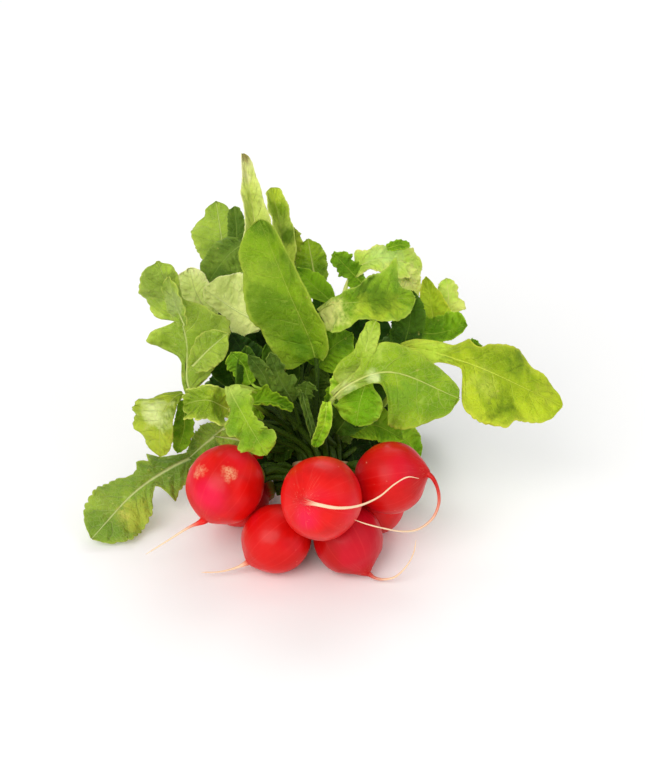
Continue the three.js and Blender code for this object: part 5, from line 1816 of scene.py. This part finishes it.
         left=((0, 1.5), (0.3, 3.5), (0.5, 2.4), (0.7, 3.6), (1, 0.5)),
         right=((0, 1.5), (0.3, 4.5), (0.5, 3), (0.7, 4.2), (1, 0.5))),
    # More near-black sheets of painted shade.
    Lobe("shade_i", "", Green.SHADE, ((-6, 70, 26), (-27, 84, 50), (-43, 92, 72)), stem=1, half=10),
    Lobe("shade_j", "", Green.SHADE, ((-5, 50, 41), (-20, 54, 57), (-34, 58, 78)), stem=1, half=6.5),
    Lobe("shade_k", "", Green.SHADE, ((18, 44, 22), (17, 48, 28), (18, 54, 36)),
         left=((0, 7), (0.4, 8), (0.8, 5), (1, 0))),
    Lobe("shade_l", "", Green.SHADE, ((-15, 46, 15), (-14, 50, 23), (-12, 56, 32)),
         left=((0, 8), (0.4, 9), (0.8, 6), (1, 0))),
    Lobe("lobe_low_top", "leaves_far_left", Green.LOW, ((-20, 24, 44), (-29, 22, 48), (-40, 22, 50)),
         face=(0, -0.8, 0.6), teeth=0.16, wave=2, veins=5,
         left=((0, 2), (0.2, 4), (0.4, 3), (0.6, 4.6), (0.85, 3), (1, 0)),
         right=((0, 2), (0.3, 3), (0.5, 4), (0.8, 3), (1, 0))),
    Lobe("lobe_ragged_low", "leaves_ragged_right", Green.RAGGED,
         ((35, 97, 90), (41, 95, 85), (46, 93, 78)), face=(0, -0.75, 0.65), teeth=0.1, wave=2, veins=4,
         left=((0, 3), (0.3, 5.5), (0.6, 5), (0.85, 3), (1, 0)),
         right=((0, 4), (0.3, 6), (0.6, 6.5), (0.85, 4), (1, 0))),
    # A leaf in the darkest tone, painted with the shade of the gap.
    Lobe("inner_gap", "", Green.INNER, ((4, 86, 56), (4, 88, 69), (3, 90, 82)), face=(0, -0.75, 0.65),
         half=5, teeth=0.12, wave=2),
    Lobe("dusk_frill", "", Green.DUSK, ((-7, 40, 42), (-10, 42, 50), (-13, 44, 56), (-12, 47, 62)),
         stem=2, wave=3.5, teeth=0.25, fold=8, cup=14, veins=2,
         left=((0, 1), (0.2, 3), (0.4, 1.6), (0.6, 3.4), (0.8, 2), (1, 0.5)),
         right=((0, 1), (0.3, 3.4), (0.5, 2), (0.7, 3.6), (0.9, 2), (1, 0.5))),
    Lobe("dusk_spray", "", Green.MOSS, ((4, 44, 35), (4, 46, 43), (7, 48, 51), (9, 50, 58)), stem=2,
         wave=3.5, teeth=0.25, fold=8, cup=14, veins=2,
         left=((0, 1), (0.2, 2.4), (0.4, 1.4), (0.6, 2.6), (0.8, 1.8), (1, 0.5)),
         right=((0, 1), (0.3, 2.6), (0.5, 1.4), (0.7, 2.6), (0.9, 1.6), (1, 0.5))),
    # A near-black sheet of painted shade.
    Lobe("shade_m", "", Green.SHADE, ((-4, 58, 20), (-4, 64, 30), (-5, 70, 40)),
         left=((0, 9), (0.5, 11), (0.8, 8), (1, 0))),
    Lobe("lobe_far_left_side", "leaves_far_left", Green.DULL,
         ((-50, 48, 68), (-43, 48, 76), (-35, 49, 83)), face=(0.15, -0.85, 0.5), fold=6, cup=8,
         teeth=0.04, veins=4,
         left=((0, 2), (0.3, 5), (0.6, 7), (0.85, 5), (1, 0)),
         right=((0, 3), (0.3, 6.5), (0.6, 7), (0.85, 4.5), (1, 0))),
    Lobe("dusk_stem", "", Green.DUSK, ((-4, 35, 63), (-2, 33, 55), (0, 31, 48), (2, 30, 38)),
         face=(0.2, -0.9, 0.3), half=0.7, point=0.2),
)


class Greens:
    """The leaf materials, each made once: both sides of the blades, and the stalks, by green."""

    def __init__(self) -> None:
        """Makes the materials of every green."""
        self.blades = {
            green: [BladeSkin(green).material, BladeSkin(green, lower=True).material]
            for green in Green
        }
        self.stalks = {green: StalkSkin(green).material for green in Green}


@dataclass(frozen=True)
class Band:
    """The flat rubber band round the stalks."""

    width: float = 4.0
    thickness: float = 1.4

    # How squarely the rubber is cut, how uneven it is, and its faces round it and along it.
    SQUARE = 0.35
    UNEVEN = 0.08
    FACES = (24, 96)

    # How much of the outer stalks' own radius the band leaves free beyond their middles.
    SLACK = 1.12

    def build(self) -> bpy.types.Object:
        """Makes the band as a bent strip with rounded corners.

        Returns:
            The piece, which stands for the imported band.
        """
        inner = len(RING_ROOM) * STALK_PITCH + Blade.STALK[1] * self.SLACK + GAP

        def squared(value: float, size: float) -> float:
            """A sine or cosine as a half of a size with squarer corners."""
            return math.copysign(abs(value) ** self.SQUARE, value) * size / 2

        def place(x: float, y: float) -> Vector:
            """A point of the band, from its shares round the rubber and round the stalks."""
            angle, turn = 2 * math.pi * y, 2 * math.pi * x
            across = squared(math.cos(turn), self.width)
            spot = Vector((math.cos(angle) * 3, math.sin(angle) * 3, across))
            out = inner + self.thickness / 2 + squared(math.sin(turn), self.thickness)
            out += self.UNEVEN * noise.noise(spot)
            radial = TIE_SIDE * math.cos(angle) + TIE_TOP * math.sin(angle)
            return placed(TIE_CENTRE + radial * out + TIE_AXIS * across)

        bm = bmesh.new()
        grid(bm, *self.FACES, place)
        bmesh.ops.recalc_face_normals(bm, faces=bm.faces)
        piece = made_object(bm, "band_fine", [BandSkin().material])
        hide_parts("band")
        return piece


class Bunch:
    """The whole bunch: seats the stalks on the necks and builds every piece."""

    def __init__(
        self, radishes: Sequence[Radish], leaves: Sequence[Leaf], lobes: Sequence[Lobe]
    ) -> None:
        """Seats each leaf's stalk on its radish.

        Args:
            radishes: The radishes of the bunch.
            leaves: Their leaves.
            lobes: The side lobes and inner leaves that go with them.
        """
        self.radishes = {r.name: r for r in radishes}
        self.leaves = leaves
        self.lobes = lobes
        self.feet: dict[str, Vector] = {}
        for radish in radishes:
            self._seat(radish)

    def _seat(self, radish: Radish) -> None:
        """Seats stalks round a neck, in the order in which they lie round the band.

        Args:
            radish: The radish whose stalks they are.
        """
        crown = radish.way_out
        side = crown.cross(TIE_TOP).normalized()
        top = crown.cross(side).normalized()
        out = radish.radius * radish.stretch + NECK_HEIGHT + GAP
        centre = Vector(radish.centre) + crown * out
        stalks = []
        for leaf in self.leaves:
            if leaf.bulb == radish.name:
                way = leaf.slot - centre
                stalks.append((math.atan2(way.dot(top), way.dot(side)), leaf))
        stalks.sort(key=lambda stalk: stalk[0])
        if not stalks:
            return
        step = 2 * math.pi / len(stalks)
        turn = sum(angle - i * step for i, (angle, _) in enumerate(stalks)) / len(stalks)
        for i, (_, leaf) in enumerate(stalks):
            angle = turn + i * step
            way = side * math.cos(angle) + top * math.sin(angle)
            self.feet[leaf.name] = centre + way * SEAT_RADIUS

    def _pieces(self) -> Iterator[bpy.types.Object]:
        """Makes the pieces one after another."""
        for radish in self.radishes.values():
            yield radish.build()
        greens = Greens()
        for leaf in self.leaves:
            yield from leaf.build(self.feet[leaf.name], self.radishes[leaf.bulb], greens)
        for lobe in self.lobes:
            yield from lobe.build(greens)
        yield Band().build()

    def build(self) -> None:
        """Builds every piece and reports it."""
        for piece in self._pieces():
            log.info("%s: %d faces", piece.name, len(piece.data.polygons))


@dataclass(frozen=True)
class Light:
    """A soft square light that looks at the bunch. Its place and its size are in metres."""

    name: str
    place: Triple
    size: float
    power: float
    colour: Colour

    AIM: ClassVar[Triple] = (0, 0, 0.05)

    def build(self) -> None:
        """Adds the light."""
        data = bpy.data.lights.new(self.name, "AREA")
        data.size = self.size
        data.energy = self.power
        data.color = self.colour
        light = bpy.data.objects.new(self.name, data)
        light.location = Vector(self.place)
        ahead = Vector(self.AIM) - light.location
        light.rotation_euler = ahead.to_track_quat("-Z", "Y").to_euler()
        bpy.context.scene.collection.objects.link(light)


LIGHTS = (
    Light("key", (-0.45, -0.85, 0.75), 0.95, 10.2, (1.0, 0.98, 0.95)),
    Light("fill", (0.85, -0.55, 0.6), 0.9, 2.4, (0.97, 0.98, 1.0)),
    Light("back", (0.1, 0.9, 0.9), 0.8, 6.0, (1.0, 1.0, 1.0)),
)


@dataclass(frozen=True)
class Studio:
    """A pale floor, a pale surround and the camera, whose distance and target are millimetres."""

    distance: float = 750.0
    elevation: float = 30.0
    target: Triple = (4.3, 31.0, 68.0)
    lens: float = 85.4
    sensor: float = 36.0
    surround: float = 0.46
    floor_half: float = 3.0

    def _floor(self) -> None:
        """Adds the plain pale floor."""
        bm = bmesh.new()
        bmesh.ops.create_grid(bm, x_segments=2, y_segments=2, size=self.floor_half)
        mesh = bpy.data.meshes.new("floor")
        bm.to_mesh(mesh)
        bm.free()
        floor = bpy.data.objects.new("floor", mesh)
        finish = Finish("floor_white")
        finish.set(Base_Color=(0.98, 0.98, 0.98), Roughness=0.9)
        mesh.materials.append(finish.material)
        bpy.context.scene.collection.objects.link(floor)

    def _world(self) -> None:
        """Sets an even pale surround."""
        world = bpy.data.worlds.new("surround")
        world.use_nodes = True
        background = world.node_tree.nodes["Background"]
        background.inputs["Color"].default_value = (1.0, 1.0, 1.0, 1.0)
        background.inputs["Strength"].default_value = self.surround
        bpy.context.scene.world = world

    def _camera(self) -> None:
        """Sets the camera, whose sensor's long side is upright."""
        angle = math.radians(self.elevation)
        ahead = Vector((0, math.cos(angle), -math.sin(angle)))
        data = bpy.data.cameras.new("camera")
        data.lens = self.lens
        data.sensor_width = self.sensor
        data.clip_start = 0.01
        camera = bpy.data.objects.new("camera", data)
        camera.location = placed(Vector(self.target) - ahead * self.distance)
        camera.rotation_euler = ahead.to_track_quat("-Z", "Y").to_euler()
        bpy.context.scene.collection.objects.link(camera)
        bpy.context.scene.camera = camera

    def build(self) -> None:
        """Sets up the camera, the floor, the surround and the lights, with plain tones."""
        bpy.context.scene.view_settings.view_transform = "Standard"
        self._camera()
        self._floor()
        self._world()
        for light in LIGHTS:
            light.build()


def main() -> None:
    """Builds the studio and the bunch."""
    logging.basicConfig(level=logging.INFO, format="%(name)s: %(message)s")
    Studio().build()
    Bunch(RADISHES, LEAVES, LOBES).build()


if __name__ == "__main__":
    main()
